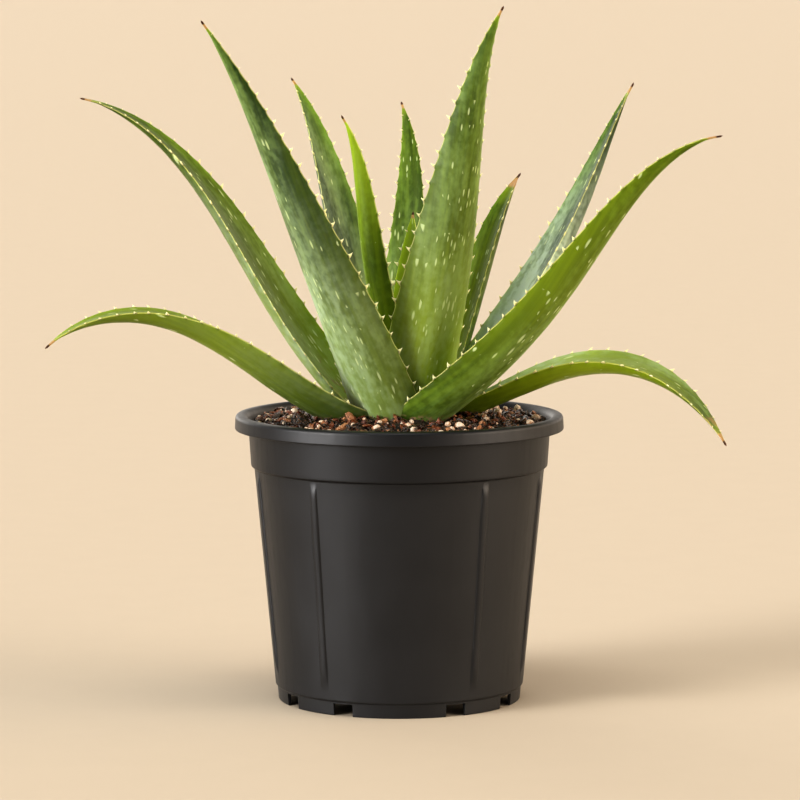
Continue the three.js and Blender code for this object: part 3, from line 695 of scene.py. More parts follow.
def tooth_places(leaf, options, sign, rng):
    """Distances along one margin where its teeth stand: even steps that shorten towards the tip, jittered."""
    gap = options.tooth_gap / MM
    last = leaf.length - BARE_TIP
    start = options.first_tooth / MM + (gap / 2 if sign > 0 else 0.0)
    steps = gap * np.linspace(*TOOTH_STEPS, int(leaf.length / gap * 1.5))
    places = start + np.concatenate([[0.0], np.cumsum(steps)])
    places = places + rng.uniform(-TOOTH_JITTER, TOOTH_JITTER, len(places))
    return places[places < last]


def leaf_blade(leaf, options, teeth, rng):
    """The leaf's skin as a grid of sections along its middle line.

    Across a section, a goes from -1 to 1. The upper face lies channel * (1 - a²) below the margins, and the
    underside edge + (channel + thick - edge) * (1 - a²)^0.75 below them. Each margin is half a circle of the
    edge's thickness. It runs out into each tooth by scallop * (1 - d)², where d grows from 0 at the tooth to
    1 at SCALLOP_REACH before and after it, so that the hollow is long on the tip's side.
    """
    count = int(leaf.length / STATION)
    share = np.linspace(0, 1, count)
    half = half_width(leaf, share)[:, None]
    thick = np.maximum(leaf.thick * 2 * half * (1 + TIP_THICKENING * share[:, None]), THINNEST)
    channel = leaf.channel * 2 * half * (1 - TIP_FLATTENING * share[:, None])
    edge = np.minimum(options.margin / MM, thick / 2)

    upper = np.sin(np.linspace(-np.pi / 2, np.pi / 2, UPPER_POINTS))
    under = np.sin(np.linspace(np.pi / 2, -np.pi / 2, UNDER_POINTS))
    turn = np.linspace(0, np.pi, MARGIN_POINTS + 2)[1:-1]
    swell = np.sin(turn)
    drop = (1 - np.cos(turn)) / 2

    across = np.concatenate([upper, np.ones(MARGIN_POINTS), under, -np.ones(MARGIN_POINTS)])
    bulge = np.concatenate([np.zeros(UPPER_POINTS), swell, np.zeros(UNDER_POINTS), -swell[::-1]])
    flat = 1 - across**2
    number = np.arange(len(across))
    under_start = UPPER_POINTS + MARGIN_POINTS
    on_upper = number < UPPER_POINTS
    on_under = (number >= under_start) & (number < under_start + UNDER_POINTS)
    margin_drop = np.concatenate([np.zeros(UPPER_POINTS), drop, np.zeros(UNDER_POINTS), drop[::-1]])
    depth = np.where(on_upper, -channel * flat, -edge * margin_drop)
    depth = np.where(on_under, -edge - (channel + thick - edge) * flat**UNDERSIDE_ROUNDNESS, depth)

    distance = share * leaf.length
    lift = np.zeros((count, 2))
    for column, places in enumerate(teeth):
        past = distance[:, None] - places[None, :]
        near = np.where(past > 0, past / SCALLOP_REACH[1], -past / SCALLOP_REACH[0]).min(axis=1)
        lift[:, column] = np.clip(1 - near, 0, 1) ** 2
    lift *= options.scallop / MM * narrower(half)
    # The 40th power keeps the scallop at the very margin
    side_lift = np.where(across > 0, lift[:, 1:2], lift[:, 0:1]) * np.abs(across) ** 40 * np.sign(across)

    along, side, face = frames_at(leaf, share)
    centre = middle_line(leaf, share)
    ripple = RIPPLE * lattice_noise(across * 9 + 31, distance[:, None] / 7, 1.0, rng) * flat
    sideways = across * half + side_lift + bulge * edge * 0.4
    outwards = depth + np.where(on_upper, 0.5, 1.0) * ripple * np.clip(half / 8, 0, 1)
    grid = centre[:, None] + side[:, None] * sideways[..., None] + face[:, None] * outwards[..., None]
    first_pole = centre[0] - face[0] * thick[0] * 0.5
    last_pole = centre[-1] + along[-1] * TIP_REACH - face[-1] * thick[-1] * 0.25
    points, quads, triangles = closed_grid(grid, first_pole, last_pole)

    attributes = leaf_marks(leaf, share, across, on_upper, sideways, bulge != 0, grid[..., 2])
    attributes["tooth"] = np.zeros(len(points))
    return points, quads, triangles, attributes


def narrower(half):
    """How much less a margin is scalloped where the leaf is narrow."""
    return np.clip(half / 5, 0.3, 1)


def leaf_marks(leaf, share, across, on_upper, sideways, on_margin, height):
    """What the skin's material reads at each point of the grid: its place on the leaf, and the leaf's marks.

    leaf_place is the place across and along the leaf, leaf_zone holds the margin, the distance to the tip and
    the withered foot, leaf_marks the flecks' share, the bloom with its painted sheen and the youth, and
    leaf_tone_and_shade the depth, which is partly painted shade.
    """
    distance = (share * leaf.length)[:, None]
    share = share[:, None]
    ones = np.ones_like(sideways)
    start = LEAVES.index(leaf) * PATTERN_STEP
    to_tip = (leaf.length - distance) * DRIED_END / leaf.brown_tip
    husk = leaf.husk * on_upper * np.clip(1.2 - distance / HUSK_LENGTH, 0, 1)
    husk = np.maximum(husk, np.clip((SOIL_AT_CROWN + STAIN_START - height) / STAIN_FADE, 0, STAIN))
    strength, middle, spread, sideways_middle = leaf.flecks
    gather = strength * np.exp(-(((share - middle) / spread) ** 2))
    gather = gather * np.exp(-(((across - sideways_middle) / FLECKS_ACROSS) ** 2))
    youth = np.interp(share, THREE_PLACES, leaf.youth)
    # depth is partly the leaf's own tone and partly painted shade; its last value paints one margin darker
    # than the other
    depth = np.interp(share, THREE_PLACES, leaf.depth[:3]) + leaf.depth[3] * across
    # bloom at each margin is partly wax and partly a painted sheen on the margin that catches the light
    over = (across + 1) / 2
    on_top = leaf.bloom_and_sheen[0] * (1 - over) + leaf.bloom_and_sheen[1] * over
    beneath = leaf.bloom_and_sheen[2] * (1 - over) + leaf.bloom_and_sheen[3] * over
    # Wax and its painted sheen are thickest on the lowest three eighths, and thin at the leaf's own rate past
    # the middle
    to_go = 2 - 2 * share
    thinning = np.clip(to_go, 1, 1.25) ** WAX_AND_SHEEN_AT_FOOT * np.clip(to_go, 0, 1) ** leaf.bloom_and_sheen[4]
    bloom_and_sheen = np.where(on_upper, on_top, beneath) * thinning
    return {
        "leaf_place": with_poles(np.stack([sideways, (start + distance) * ones, ones * 0], axis=-1)),
        "leaf_zone": with_poles(np.stack([on_margin * ones, to_tip * ones, husk * ones], axis=-1)),
        "leaf_marks": with_poles(np.stack([gather * ones, bloom_and_sheen, youth * ones], axis=-1)),
        "leaf_tone_and_shade": with_poles(depth[..., None])[:, 0],
    }


def with_poles(grid):
    """A grid's values as rows, with its first and last row's mean for the two poles."""
    return np.concatenate([grid.reshape(-1, grid.shape[-1]), [grid[0].mean(axis=0), grid[-1].mean(axis=0)]])


def leaf_teeth(leaf, options, places, sign, rng):
    """Hooked teeth on one margin: rings of an oval that shrinks to a point along a curved axis.

    At height t of a tooth, its axis is t * length outwards and hook * t² onwards to the leaf's tip, its oval
    is (1 - t)^1.15 of the base long and (1 - t)^0.6 of the margin thick. Outwards is the margin's own
    direction, TOOTH_LIFT above the leaf's width, because its channel turns the margins up. Its root is sunk
    half a millimetre.
    """
    share = places / leaf.length
    along, side, face = frames_at(leaf, share)
    half = half_width(leaf, share)[:, None]
    edge = options.margin / MM
    size = np.minimum(1.0, 0.42 + half / 14) * rng.uniform(*TOOTH_SIZES, half.shape)
    foot_lift = options.scallop / MM * narrower(half) - 0.5
    root = middle_line(leaf, share) + side * sign * (half + foot_lift) - face * edge / 2
    height = np.linspace(0, 1, TOOTH_RINGS + 1)[:-1]
    turn = np.arange(TOOTH_SIDES) * 2 * np.pi / TOOTH_SIDES
    outwards = side * sign * np.cos(TOOTH_LIFT) + face * np.sin(TOOTH_LIFT)
    through_margin = face * np.cos(TOOTH_LIFT) - side * sign * np.sin(TOOTH_LIFT)
    reach = (options.tooth_length / MM + 0.3) * size
    hook = TOOTH_HOOK * size

    def axis_at(t):
        return root + outwards * reach * t + along * hook * t * t

    rings = []
    for t in height:
        long_axis = along * (options.tooth_base / MM / 2) * size * (1 - t) ** 1.15
        thick_axis = through_margin * (edge * 0.62) * (1 - t) ** 0.6
        ring = (
            axis_at(t)[:, None]
            + long_axis[:, None] * np.cos(turn)[None, :, None]
            + thick_axis[:, None] * np.sin(turn)[None, :, None] * sign
        )
        rings.append(ring)
    grid = np.stack(rings, axis=1)
    poles = np.stack([root, axis_at(1.0)], axis=1)
    placed = np.concatenate([grid.reshape(len(places), -1, 3), poles], axis=1)
    _, quads, triangles = closed_grid(grid[0], root[0], root[0])
    points, quads, triangles = repeated(quads, triangles, placed)
    grown = np.concatenate([np.repeat(height, TOOTH_SIDES), [0.0, 1.0]])
    tooth = np.tile(grown, len(places))
    ones = np.ones(len(points))
    distance = np.repeat(places, placed.shape[1])
    start = LEAVES.index(leaf) * PATTERN_STEP
    attributes = {
        "leaf_place": np.stack([ones * sign * 20, distance + start, ones * 0], axis=-1),
        "leaf_zone": np.stack([ones, ones * 60, ones * 0], axis=-1),
        "leaf_marks": np.stack([ones * 0, ones * 0, ones * 0.5], axis=-1),
        "leaf_tone_and_shade": ones * 0.3,
        "tooth": tooth * 0.9 + 0.1,
    }
    return points, quads, triangles, attributes


class ALOE_OT_leaves(bpy.types.Operator):
    """Build the twelve leaves with their teeth"""

    bl_idname = "aloe.leaves"
    bl_label = "Aloe leaves"

    def execute(self, context):
        options = context.scene.aloe_leaves
        skin = waxy_aloe_skin(options)
        for number, leaf in enumerate(LEAVES):
            rng = np.random.default_rng(500 + number)
            teeth = [tooth_places(leaf, options, sign, rng) for sign in (-1, 1)]
            parts = [leaf_blade(leaf, options, teeth, rng)]
            parts += [leaf_teeth(leaf, options, places, sign, rng) for places, sign in zip(teeth, (-1, 1))]
            piece = new_piece(f"{leaf.node}_grown", *joined(parts))
            piece.data.materials.append(skin)
            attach(piece, "root")
            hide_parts(leaf.node)
        return {"FINISHED"}


# Pot

BEAD_ANGLES = np.array([35.5, 75, 117, 159, 201, 243, 285, 324.5])
BEAD_SPAN = (16.0, 114.0)
BEAD_COLUMNS = np.array([0.3, 0.9, 1.4, 1.75, 2.0, 2.2, 2.5, 3.0])
WALL_MIDDLE_RADIUS = 68.0
NOTCH_ANGLES = np.array([27, 60, 93, 147, 180, 213, 267, 300, 333])
NOTCH_WIDTH = 10.5
NOTCH_HEIGHT = 6.0
NOTCH_EDGE = 0.03
BAND_RADIUS = 75.6
LEDGE_HEIGHT = 118.0
DUST_FADE = 10.0
DUST_PALER = 0.006
LEDGE_OUTER = 74.4
LEDGE_INNER = 72.8
WALL_FOOT = (62.9, 12.0)
FOOT_RADIUS = 61.3
FLOOR_UNDER = 7.0
PAD_RADIUS = 14.0
PAD_SLOPE_RADIUS = 22.0
SKIRT_BOTTOM = 136.5
DRAIN_HOLES = 6
DRAIN_RADIUS = 5.0
DRAIN_CIRCLE = 44.0
CORNER_POINTS = 5


def rounded(corners):
    """A profile whose corners are arcs: rows are (radius, height, rounding).

    Each corner C becomes the curve (1-t)² P + 2t(1-t) C + t² Q, with P and Q its rounding away from it.
    """
    corners = np.array(corners, dtype=float)
    place, size = corners[:, :2], corners[:, 2:]
    before = np.roll(place, 1, axis=0) - place
    after = np.roll(place, -1, axis=0) - place
    before_length = np.linalg.norm(before, axis=1, keepdims=True) + 1e-9
    after_length = np.linalg.norm(after, axis=1, keepdims=True) + 1e-9
    size = np.minimum(size, np.minimum(before_length, after_length) * 0.49)
    p = place + before / before_length * size
    q = place + after / after_length * size
    t = np.linspace(0, 1, CORNER_POINTS)[None, :, None]
    return (1 - t) ** 2 * p[:, None] + 2 * t * (1 - t) * place[:, None] + t**2 * q[:, None]


def pot_profile(options):
    """The pot's section from the middle of its underside, out, up, over the rim and down the inside."""
    top, rim, wall = options.height / MM, options.rim_radius / MM, options.wall / MM
    skirt = 1.7
    inside = FLOOR_UNDER + wall
    outer = [
        (PAD_RADIUS, 0.0, 1.0),
        (PAD_SLOPE_RADIUS, FLOOR_UNDER, 1.5),
        (FOOT_RADIUS - wall - 0.3, FLOOR_UNDER, 0.5),
        (FOOT_RADIUS - wall, 0.0, 0.3),
        (FOOT_RADIUS - 0.4, 0.0, 0.8),
        (FOOT_RADIUS + 0.2, FLOOR_UNDER, 0.4),
        (WALL_FOOT[0] - 0.5, FLOOR_UNDER + 0.6, 1.8),
        (LEDGE_INNER, LEDGE_HEIGHT - 0.7, 0.4),
        (LEDGE_OUTER, LEDGE_HEIGHT + 0.1, 0.5),
        (BAND_RADIUS, SKIRT_BOTTOM - 0.5, 0.5),
        (BAND_RADIUS + 0.5, top - 2.2, 0.8),
        (rim - skirt - 0.7, top - 2.2, 1.2),
        (rim - skirt, SKIRT_BOTTOM, 0.4),
        (rim, SKIRT_BOTTOM, 0.7),
        (rim - 0.4, top - 0.5, 1.5),
        (BAND_RADIUS + 1.2, top, 2.6),
        (BAND_RADIUS - wall, SKIRT_BOTTOM, 1.0),
        (LEDGE_OUTER - wall, LEDGE_HEIGHT + 1.6, 0.9),
        (LEDGE_INNER - wall, LEDGE_HEIGHT - 0.6, 0.9),
        (WALL_FOOT[0] - wall, WALL_FOOT[1], 2.0),
        (WALL_FOOT[0] - wall - 1.4, inside, 1.6),
        (PAD_SLOPE_RADIUS, inside, 1.5),
        (PAD_RADIUS, wall, 1.0),
    ]
    curves = list(rounded([(0.0, 0.0, 0.0), *outer, (0.0, wall, 0.0)]))[1:-1]
    foot_curve = next(i for i, row in enumerate(outer) if row[0] == LEDGE_INNER)
    wall_start, wall_end = curves[foot_curve - 1][-1], curves[foot_curve][0]
    steps = np.linspace(0, 1, 34)[1:-1, None]
    curves.insert(foot_curve, wall_start + (wall_end - wall_start) * steps)
    # A point near each end of a straight part keeps it flat where shading is smooth
    profile = [curves[0]]
    for before, after in zip(curves, curves[1:]):
        near_ends = np.array([[0.06], [0.94]])
        profile += [before[-1] + (after[0] - before[-1]) * near_ends, after]
    return np.concatenate(profile)


def pot_angles():
    """Columns of the pot: even ones, with close ones across each bead and at both sides of each notch."""
    even = np.arange(0, 360, 2.5)
    bead_step = np.degrees(np.concatenate([-BEAD_COLUMNS[::-1], BEAD_COLUMNS]) / WALL_MIDDLE_RADIUS)
    beads = (BEAD_ANGLES[:, None] + bead_step[None, :]).reshape(-1)
    notch_half = np.degrees(NOTCH_WIDTH / 2 / FOOT_RADIUS)
    notch_step = (np.array([[-notch_half], [notch_half]]) + np.array([-NOTCH_EDGE, NOTCH_EDGE])).reshape(-1)
    notches = (NOTCH_ANGLES[:, None] + notch_step[None, :]).reshape(-1)
    close = np.concatenate([beads, notches]) % 360
    gap = np.abs((even[:, None] - close[None, :] + 180) % 360 - 180).min(axis=1)
    return np.radians(np.sort(np.concatenate([even[gap > 1.0], close])))


def degrees_to_nearest(angles, marks):
    """Angle in degrees from each angle, in radians, to its nearest mark, in degrees."""
    return np.abs((np.degrees(angles)[:, None] - marks[None, :] + 180) % 360 - 180).min(axis=1)


def pot_shell(options):
    """The pot: its section turned about the axis, with beads and notches worked into the grid.

    A bead adds proud * (1 - d²)^0.45 to the wall's radius, d being the share of half its width, and dies
    away over its lowest 4 mm and its highest 2.5 mm. Over a notch, points of the foot ring are lifted to its
    top.
    """
    profile = pot_profile(options)
    angles = pot_angles()
    grid = turned(profile, angles)
    radius, height = profile[:, :1], profile[:, 1:]

    bead_half = options.bead_width / MM / 2
    sideways = np.radians(degrees_to_nearest(angles, BEAD_ANGLES))[None, :] * radius
    section = np.clip(1 - (sideways / bead_half) ** 2, 0, 1) ** 0.45
    ends = np.clip((height - BEAD_SPAN[0]) / 4, 0, 1) * np.clip((BEAD_SPAN[1] - height) / 2.5, 0, 1)
    on_wall = (np.arange(len(profile)) < len(profile) / 2)[:, None]
    proud = options.bead_proud / MM * section * ends**0.5 * on_wall
    grid[..., 0] += proud * np.sin(angles)
    grid[..., 1] -= proud * np.cos(angles)

    notch_half = np.degrees(NOTCH_WIDTH / 2 / FOOT_RADIUS)
    in_notch = degrees_to_nearest(angles, NOTCH_ANGLES) < notch_half
    on_ring = (radius > FOOT_RADIUS - 4) & (height < NOTCH_HEIGHT)
    grid[..., 2] = np.where(in_notch[None, :] & on_ring, NOTCH_HEIGHT, grid[..., 2])

    points, quads, triangles = closed_grid(grid, (0, 0, 0), (0, 0, options.wall / MM))
    return points, quads, triangles


def drill(x, y, low, high, radius):
    """A closed upright cylinder."""
    angles = np.linspace(0, 2 * np.pi, 32, endpoint=False)
    grid = turned(np.array([[radius, low], [radius, high]]), angles) + np.array([x, y, 0.0])
    return closed_grid(grid, (x, y, low), (x, y, high))


class ALOE_OT_pot(bpy.types.Operator):
    """Build the moulded nursery pot with its rim, beads, foot notches and drain holes"""

    bl_idname = "aloe.pot"
    bl_label = "Nursery pot"

    def execute(self, context):
        options = context.scene.aloe_pot
        piece = new_piece("nursery_pot", *pot_shell(options))
        angles = np.radians((np.arange(DRAIN_HOLES) + 0.5) * 360 / DRAIN_HOLES)
        parts = []
        for angle in angles:
            x, y = DRAIN_CIRCLE * np.sin(angle), -DRAIN_CIRCLE * np.cos(angle)
            parts.append((*drill(x, y, 3.0, 12.0, DRAIN_RADIUS), {}))
        drills = new_piece("drain_drills", *joined(parts))
        cut = piece.modifiers.new("Drain holes", "BOOLEAN")
        cut.solver = "MANIFOLD"
        cut.object = drills
        apply_modifiers(piece)
        bpy.data.objects.remove(drills)
        piece.data.set_sharp_from_angle(angle=np.radians(40))
        piece.data.materials.append(moulded_polypropylene(options))
        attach(piece, "root")
        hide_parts("pot")
        return {"FINISHED"}


def apply_modifiers(piece):
    """Bakes a piece's modifiers into its mesh."""
    graph = bpy.context.evaluated_depsgraph_get()
    finished = bpy.data.meshes.new_from_object(piece.evaluated_get(graph))
    finished.materials.clear()
    piece.modifiers.clear()
    piece.data = finished


# Potting mix

SOIL_AT_WALL = 139.3
SOIL_AT_CROWN = 145.0
SOIL_GAP = 0.35
TOP_RINGS = 96
SOIL_SIDES = 300
# Height and cell of each layer of the top's crumbly noise
CRUMBLES = ((0.9, 9.0), (0.7, 3.5), (0.45, 1.4))
# Half sizes: the smallest, and what the largest adds to it
CHIP_LENGTH = (2.2, 4.0)
CRUMB_SIZE = (0.45, 1.3)
GRAIN_SIZE = (0.6, 1.6)
# Least and most of a chip's width, as a share of its length, and of half its thickness
CHIP_WIDTHS = (0.25, 0.5)
CHIP_THICKNESS = (0.6, 1.3)
# Least and most that a crumb or grain is stretched on each axis
CRUMB_SHAPES = (0.7, 1.3)
GRAIN_SHAPES = (0.7, 1.2)


def soil_level(x, y):
    """Height of the mix: a low mound with the frame's two long waves."""
    out = np.clip(np.hypot(x, y) / BAND_RADIUS, 0, 1)
    waves = np.sin(x * 0.31 + 1.7 * np.sin(y * 0.23)) + np.sin(y * 0.37 + 1.3 * np.sin(x * 0.19))
    return SOIL_AT_WALL + (SOIL_AT_CROWN - SOIL_AT_WALL) * (1 - out**2) + 0.45 * waves


def inner_radius(height):
    """Radius of the pot's inside under the band and above the ledge, less a thin gap."""
    up = (height - LEDGE_HEIGHT - 1.6) / (SKIRT_BOTTOM - LEDGE_HEIGHT - 1.6)
    return LEDGE_OUTER + (BAND_RADIUS - LEDGE_OUTER) * up - 1.5 - SOIL_GAP


def soil_plug(rng):
    """The body of the mix: a turned plug whose top rings follow the mound, with layers of crumbly noise."""
    low = FLOOR_UNDER + 1.5 + SOIL_GAP
    top_radius = inner_radius(SOIL_AT_WALL)
    side = np.array([
        (PAD_SLOPE_RADIUS - 1, low),
        (WALL_FOOT[0] - 3.9, low),
        (WALL_FOOT[0] - 2.3, WALL_FOOT[1]),
        (LEDGE_INNER - 2.3, LEDGE_HEIGHT - 2),
        (inner_radius(LEDGE_HEIGHT + 4), LEDGE_HEIGHT + 4),
    ])
    top = np.stack([np.linspace(top_radius, 0.8, TOP_RINGS), np.zeros(TOP_RINGS)], axis=1)
    angles = np.linspace(0, 2 * np.pi, SOIL_SIDES, endpoint=False)
    grid = turned(np.concatenate([side, top]), angles)
    x, y = grid[len(side) :, :, 0], grid[len(side) :, :, 1]
    crumbly = sum(height * lattice_noise(x + 200, y + 200, cell, rng) for height, cell in CRUMBLES)
    grid[len(side) :, :, 2] = soil_level(x, y) - CRUMBLES[0][0] + crumbly
    return closed_grid(grid, (0, 0, low), (0, 0, float(grid[-1, :, 2].mean())))


def turn_matrices(yaw, pitch, roll):
    """Rotation matrices for arrays of angles: roll about X, then pitch about Y, then yaw about Z."""
    cy, cp, cr = np.cos(yaw), np.cos(pitch), np.cos(roll)
    sy, sp, sr = np.sin(yaw), np.sin(pitch), np.sin(roll)
    rows = [
        [cy * cp, cy * sp * sr - sy * cr, cy * sp * cr + sy * sr],
        [sy * cp, sy * sp * sr + cy * cr, sy * sp * cr - cy * sr],
        [-sp, cp * sr, cp * cr],
    ]
    return np.moveaxis(np.array(rows), -1, 0)


def scattered(form, sizes, tilt, sink, roughness, rng, keep_in):
    """Copies of a small closed form strewn over the mix.

    Each copy is stretched by its size, its points are moved by random shares of it, and it is turned at
    random, laid on the mound sink of its half thickness up, and drawn inwards where it would cross the pot.
    """
    points, quads, triangles = form
    copies = len(sizes)
    radius = keep_in * np.sqrt(rng.uniform(0.0, 1.0, copies))
    angle = rng.uniform(0, 2 * np.pi, copies)
    ragged = rng.uniform(1 - roughness, 1 + roughness, (copies, len(points), 1))
    placed = points[None] * ragged * sizes[:, None, :]
    turn = turn_matrices(
        rng.uniform(0, 2 * np.pi, copies), rng.normal(0, tilt, copies), rng.normal(0, tilt, copies)
    )
    placed = np.einsum("nij,nkj->nki", turn, placed)
    x, y = radius * np.sin(angle), -radius * np.cos(angle)
    reach = np.hypot(placed[..., 0] + x[:, None], placed[..., 1] + y[:, None]).max(axis=1)
    inwards = np.clip(1 - np.maximum(reach - keep_in, 0) / np.maximum(radius, 1e-6), 0, 1)
    x, y = x * inwards, y * inwards
    z = soil_level(x, y) + sizes[:, 2] * sink
    placed += np.stack([x, y, z], axis=1)[:, None]
    return (*repeated(quads, triangles, placed), np.repeat(rng.uniform(0, 1, copies), len(points)))


def pebble(rings, sides):
    """A closed ball of radius 1: rings at even steps of latitude between two poles."""
    tilt = np.linspace(-np.pi / 2, np.pi / 2, rings + 2)[1:-1]
    angles = np.arange(sides) * 2 * np.pi / sides
    profile = np.stack([np.cos(tilt), np.sin(tilt)], axis=1)
    return closed_grid(turned(profile, angles), (0, 0, -1), (0, 0, 1))


def splinter():
    """A closed flat slab of half sizes 1: five cross-sections of seven points, drawn in at both ends."""
    angles = np.arange(7) * 2 * np.pi / 7
    reach = np.array([-0.92, -0.55, 0.0, 0.55, 0.92])
    girth = np.array([0.55, 0.95, 1.0, 0.9, 0.5])[:, None]
    y = girth * np.sign(np.cos(angles)) * np.abs(np.cos(angles)) ** 0.7
    z = girth * np.sign(np.sin(angles)) * np.abs(np.sin(angles)) ** 0.7
    grid = np.stack([np.broadcast_to(reach[:, None], y.shape), y, z], axis=-1)
    return closed_grid(grid, (-1, 0, 0), (1, 0, 0))


class ALOE_OT_potting_mix(bpy.types.Operator):
    """Build the potting mix: peat and fines, bark chips, crumbs and perlite grains"""

    bl_idname = "aloe.potting_mix"
    bl_label = "Potting mix"

    def execute(self, context):
        options = context.scene.aloe_mix
        rng = np.random.default_rng(options.seed)
        keep_in = inner_radius(SOIL_AT_WALL) - 0.3

        plug = new_piece("mix_fines", *soil_plug(rng))
        plug.data.materials.append(damp_peat(options))
        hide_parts("soil")

        chips = options.chips
        long = CHIP_LENGTH[0] + CHIP_LENGTH[1] * rng.uniform(0, 1, chips) ** 2
        wide = long * rng.uniform(*CHIP_WIDTHS, chips)
        sizes = np.stack([long, wide, rng.uniform(*CHIP_THICKNESS, chips)], axis=1)
        *chip_mesh, shade = scattered(splinter(), sizes, 0.4, 0.5, 0.16, rng, keep_in)
        shade = shade.astype(np.float32)
        bark = new_piece("bark_chips", *chip_mesh, {"shade": shade}, smooth=False)
        bark_material = broken_pine_bark(options)
        bark.data.materials.append(bark_material)

        shapes = rng.uniform(*CRUMB_SHAPES, (options.crumbs, 3))
        sizes = shapes * (CRUMB_SIZE[0] + CRUMB_SIZE[1] * rng.uniform(0, 1, (options.crumbs, 1)) ** 5)
        *crumb_mesh, shade = scattered(pebble(1, 4), sizes, 1.5, 0.6, 0.3, rng, keep_in)
        # Most crumbs are dark
        shade = shade.astype(np.float32) ** 2.4
        crumbs = new_piece("mix_crumbs", *crumb_mesh, {"shade": shade}, smooth=False)
        crumbs.data.materials.append(bark_material)

        spread = GRAIN_SIZE[1] * rng.uniform(0, 1, (options.grains, 1)) ** 2
        sizes = GRAIN_SIZE[0] + spread * rng.uniform(*GRAIN_SHAPES, (options.grains, 3))
        *grain_mesh, shade = scattered(pebble(5, 8), sizes, 1.5, 0.65, 0.12, rng, keep_in)
        perlite = new_piece("perlite_grains", *grain_mesh, {"shade": shade.astype(np.float32)})
        perlite.data.materials.append(expanded_perlite(options))

        for piece in (plug, bark, crumbs, perlite):
            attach(piece, "root")
        return {"FINISHED"}


# Stem

SCARS = 9
SCAR_DEPTH = 0.03


class ALOE_OT_stem(bpy.types.Operator):
    """Build the short stem with the scars of old leaves, hidden among the leaf bases"""

    bl_idname = "aloe.stem"
    bl_label = "Stem"

    def execute(self, context):
        low, high = (np.array(corner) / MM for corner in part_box("stem"))
        radius = (high[0] - low[0]) / 2
        up = np.linspace(0, 1, 60)
        taper = np.clip(up / 0.2, 0.6, 1) * np.clip((1 - up) / 0.1, 0.7, 1)
        scars = 1 - SCAR_DEPTH * (1 + np.cos(up * 2 * np.pi * SCARS)) / 2
        profile = np.stack([radius * taper * scars, low[2] + (high[2] - low[2]) * up], axis=1)
        grid = turned(profile, np.linspace(0, 2 * np.pi, 48, endpoint=False))
        piece = new_piece("old_stem", *closed_grid(grid, (0, 0, low[2]), (0, 0, high[2])))
        piece.data.materials.append(fibrous_stem_skin(context.scene.aloe_leaves))
        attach(piece, "root")
        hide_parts("stem")
        return {"FINISHED"}


# Stage

# Radii of the floor's rings in metres, from the outside in, so that its faces look up
FLOOR_RINGS = (400.0, 10.0, 2.0, 0.4)
FLOOR_SIDES = 64
LIGHTS = (
    # name, compass angle from the camera's side, height, softness, all in degrees, strength, colour
    ("window light", -57.0, 17.0, 26.0, 1.9, "#fff8ee"),
    ("ceiling light", -15.0, 72.0, 28.0, 1.05, "#fffcf6"),
    ("bounce light", 98.0, 12.0, 55.0, 1.6, "#ffe4c4"),
)
# Colour and strength
ROOM = ("#f2ece4", 0.16)
BACKDROP = ("#e9d3bb", 1.0)
GLOWS = (
    # direction in which the room glows, how narrow the glow is, strength, colour
    ((-0.87, -0.5, 0.03), 30.0, 26.0, "#f8f8fc"),
    ((-0.3, 0.8, 0.5), 2.0, 0.4, "#fff6ea"),
    ((0.92, -0.39, 0.05), 14.0, 10.0, "#fff0e0"),
    ((-0.5, 0.86, 0.1), 12.0, 3.0, "#fffaf2"),
    ((0.55, 0.83, 0.08), 12.0, 1.5, "#ffeedc"),
)


def studio_room():
    """The room round the stage: an even dim tone, and soft glows that fall off with the angle from them.

    A glow's brightness is its strength times the cosine of that angle, raised to the power narrow. The room
    lights the stage, and what shows of it past the floor's edge is a plain backdrop in the floor's tone.
    """
    world = bpy.data.worlds.new("studio_room")
    world.use_nodes = True
    tree = world.node_tree
    direction = add(tree, DIRECTION)
    room_colour, room_strength = ROOM
    total = tuple(c * room_strength for c in linear(room_colour))
    for middle, narrow, strength, tint in GLOWS:
        unit = tuple(np.array(middle) / np.linalg.norm(middle))
        share = add(tree, POWER, add(tree, LARGER, add(tree, COSINE, direction, unit), 0.0), narrow)
        total = add(tree, ADD_LIGHT, share, total, tuple(c * strength for c in linear(tint)))
    backdrop_colour, backdrop_strength = BACKDROP
    seen = tuple(c * backdrop_strength for c in linear(backdrop_colour))
    total = add(tree, MIX, add(tree, RAY), total, seen)
    tree.links.new(total, tree.nodes["Background"].inputs["Color"])
    return world


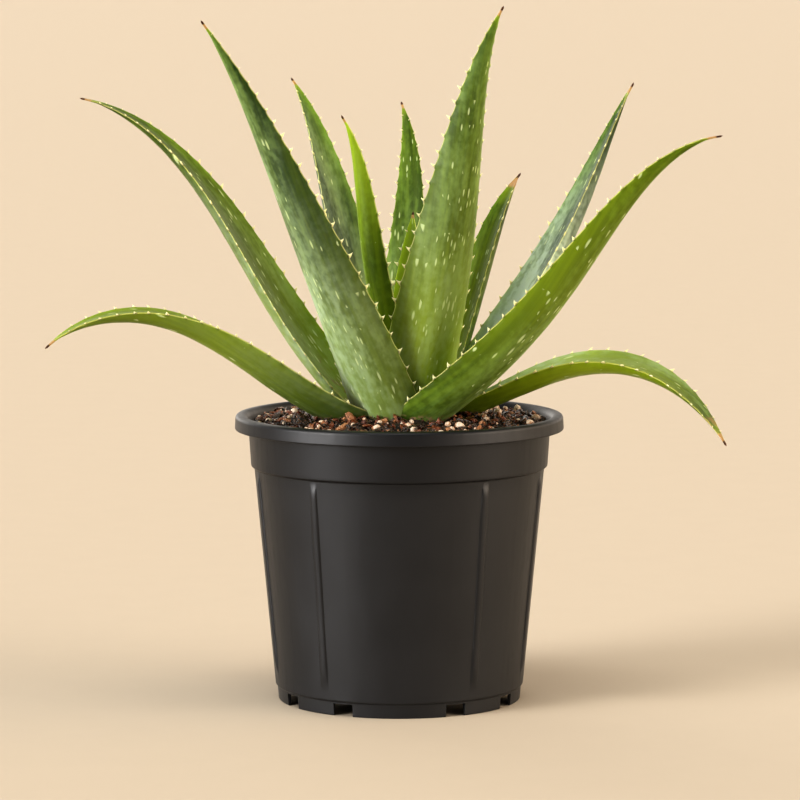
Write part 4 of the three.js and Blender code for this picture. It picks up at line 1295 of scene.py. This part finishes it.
class ALOE_OT_stage(bpy.types.Operator):
    """Set the camera, the soft lights and the pale floor"""

    bl_idname = "aloe.stage"
    bl_label = "Studio stage"

    def execute(self, context):
        scene = context.scene
        options = scene.aloe_stage
        camera_data = bpy.data.cameras.new("photo_camera")
        camera_data.lens = options.lens
        camera_data.sensor_width = 36.0
        camera_data.clip_end = 1000.0
        camera = bpy.data.objects.new("photo_camera", camera_data)
        camera.location = (0.35 * MM, -options.distance, options.camera_height)
        camera.rotation_euler = (np.pi / 2 - options.pitch, 0.0, 0.0)
        scene.collection.objects.link(camera)
        scene.camera = camera

        for name, azimuth, elevation, softness, strength, tint in LIGHTS:
            lamp_data = bpy.data.lights.new(name, "SUN")
            lamp_data.angle = np.radians(softness)
            lamp_data.energy = strength
            lamp_data.color = linear(tint)
            lamp = bpy.data.objects.new(name, lamp_data)
            lamp.rotation_euler = (np.pi / 2 - np.radians(elevation), 0.0, np.radians(azimuth))
            scene.collection.objects.link(lamp)

        scene.world = studio_room()
        scene.view_settings.view_transform = "Standard"
        scene.view_settings.look = "Medium High Contrast"

        radii = np.array(FLOOR_RINGS) / MM
        count = len(radii)
        angles = np.linspace(0, 2 * np.pi, FLOOR_SIDES, endpoint=False)
        rings = turned(np.stack([radii, np.zeros(count)], axis=1), angles)
        points = np.concatenate([rings.reshape(-1, 3), [(0, 0, 0)]])
        inner_ring = (count - 1) * FLOOR_SIDES
        triangles = cap_triangles(inner_ring, FLOOR_SIDES, count * FLOOR_SIDES, outward=True)
        floor = new_piece("studio_floor", points, ring_quads(count, FLOOR_SIDES), triangles)
        floor.data.materials.append(painted_floor(options))
        return {"FINISHED"}


# Add-on

OPERATORS = (ALOE_OT_pot, ALOE_OT_potting_mix, ALOE_OT_stem, ALOE_OT_leaves, ALOE_OT_stage)


class ALOE_PT_panel(bpy.types.Panel):
    """Lists the pieces and their settings"""

    bl_idname = "ALOE_PT_panel"
    bl_label = "Potted Aloe"
    bl_space_type = "VIEW_3D"
    bl_region_type = "UI"
    bl_category = "Aloe"

    def draw(self, context):
        for operator in OPERATORS:
            self.layout.operator(operator.bl_idname)
        for name, group in SETTINGS:
            box = self.layout.box()
            box.label(text=group.__doc__)
            for field in group.__annotations__:
                box.prop(getattr(context.scene, name), field)


def register():
    for name, group in SETTINGS:
        bpy.utils.register_class(group)
        setattr(bpy.types.Scene, name, PointerProperty(type=group))
    for operator in OPERATORS:
        bpy.utils.register_class(operator)
    bpy.utils.register_class(ALOE_PT_panel)


def unregister():
    bpy.utils.unregister_class(ALOE_PT_panel)
    for operator in reversed(OPERATORS):
        bpy.utils.unregister_class(operator)
    for name, group in reversed(SETTINGS):
        delattr(bpy.types.Scene, name)
        bpy.utils.unregister_class(group)


def main():
    register()
    bpy.ops.aloe.pot()
    bpy.ops.aloe.potting_mix()
    bpy.ops.aloe.stem()
    bpy.ops.aloe.leaves()
    bpy.ops.aloe.stage()


if __name__ == "__main__":
    main()
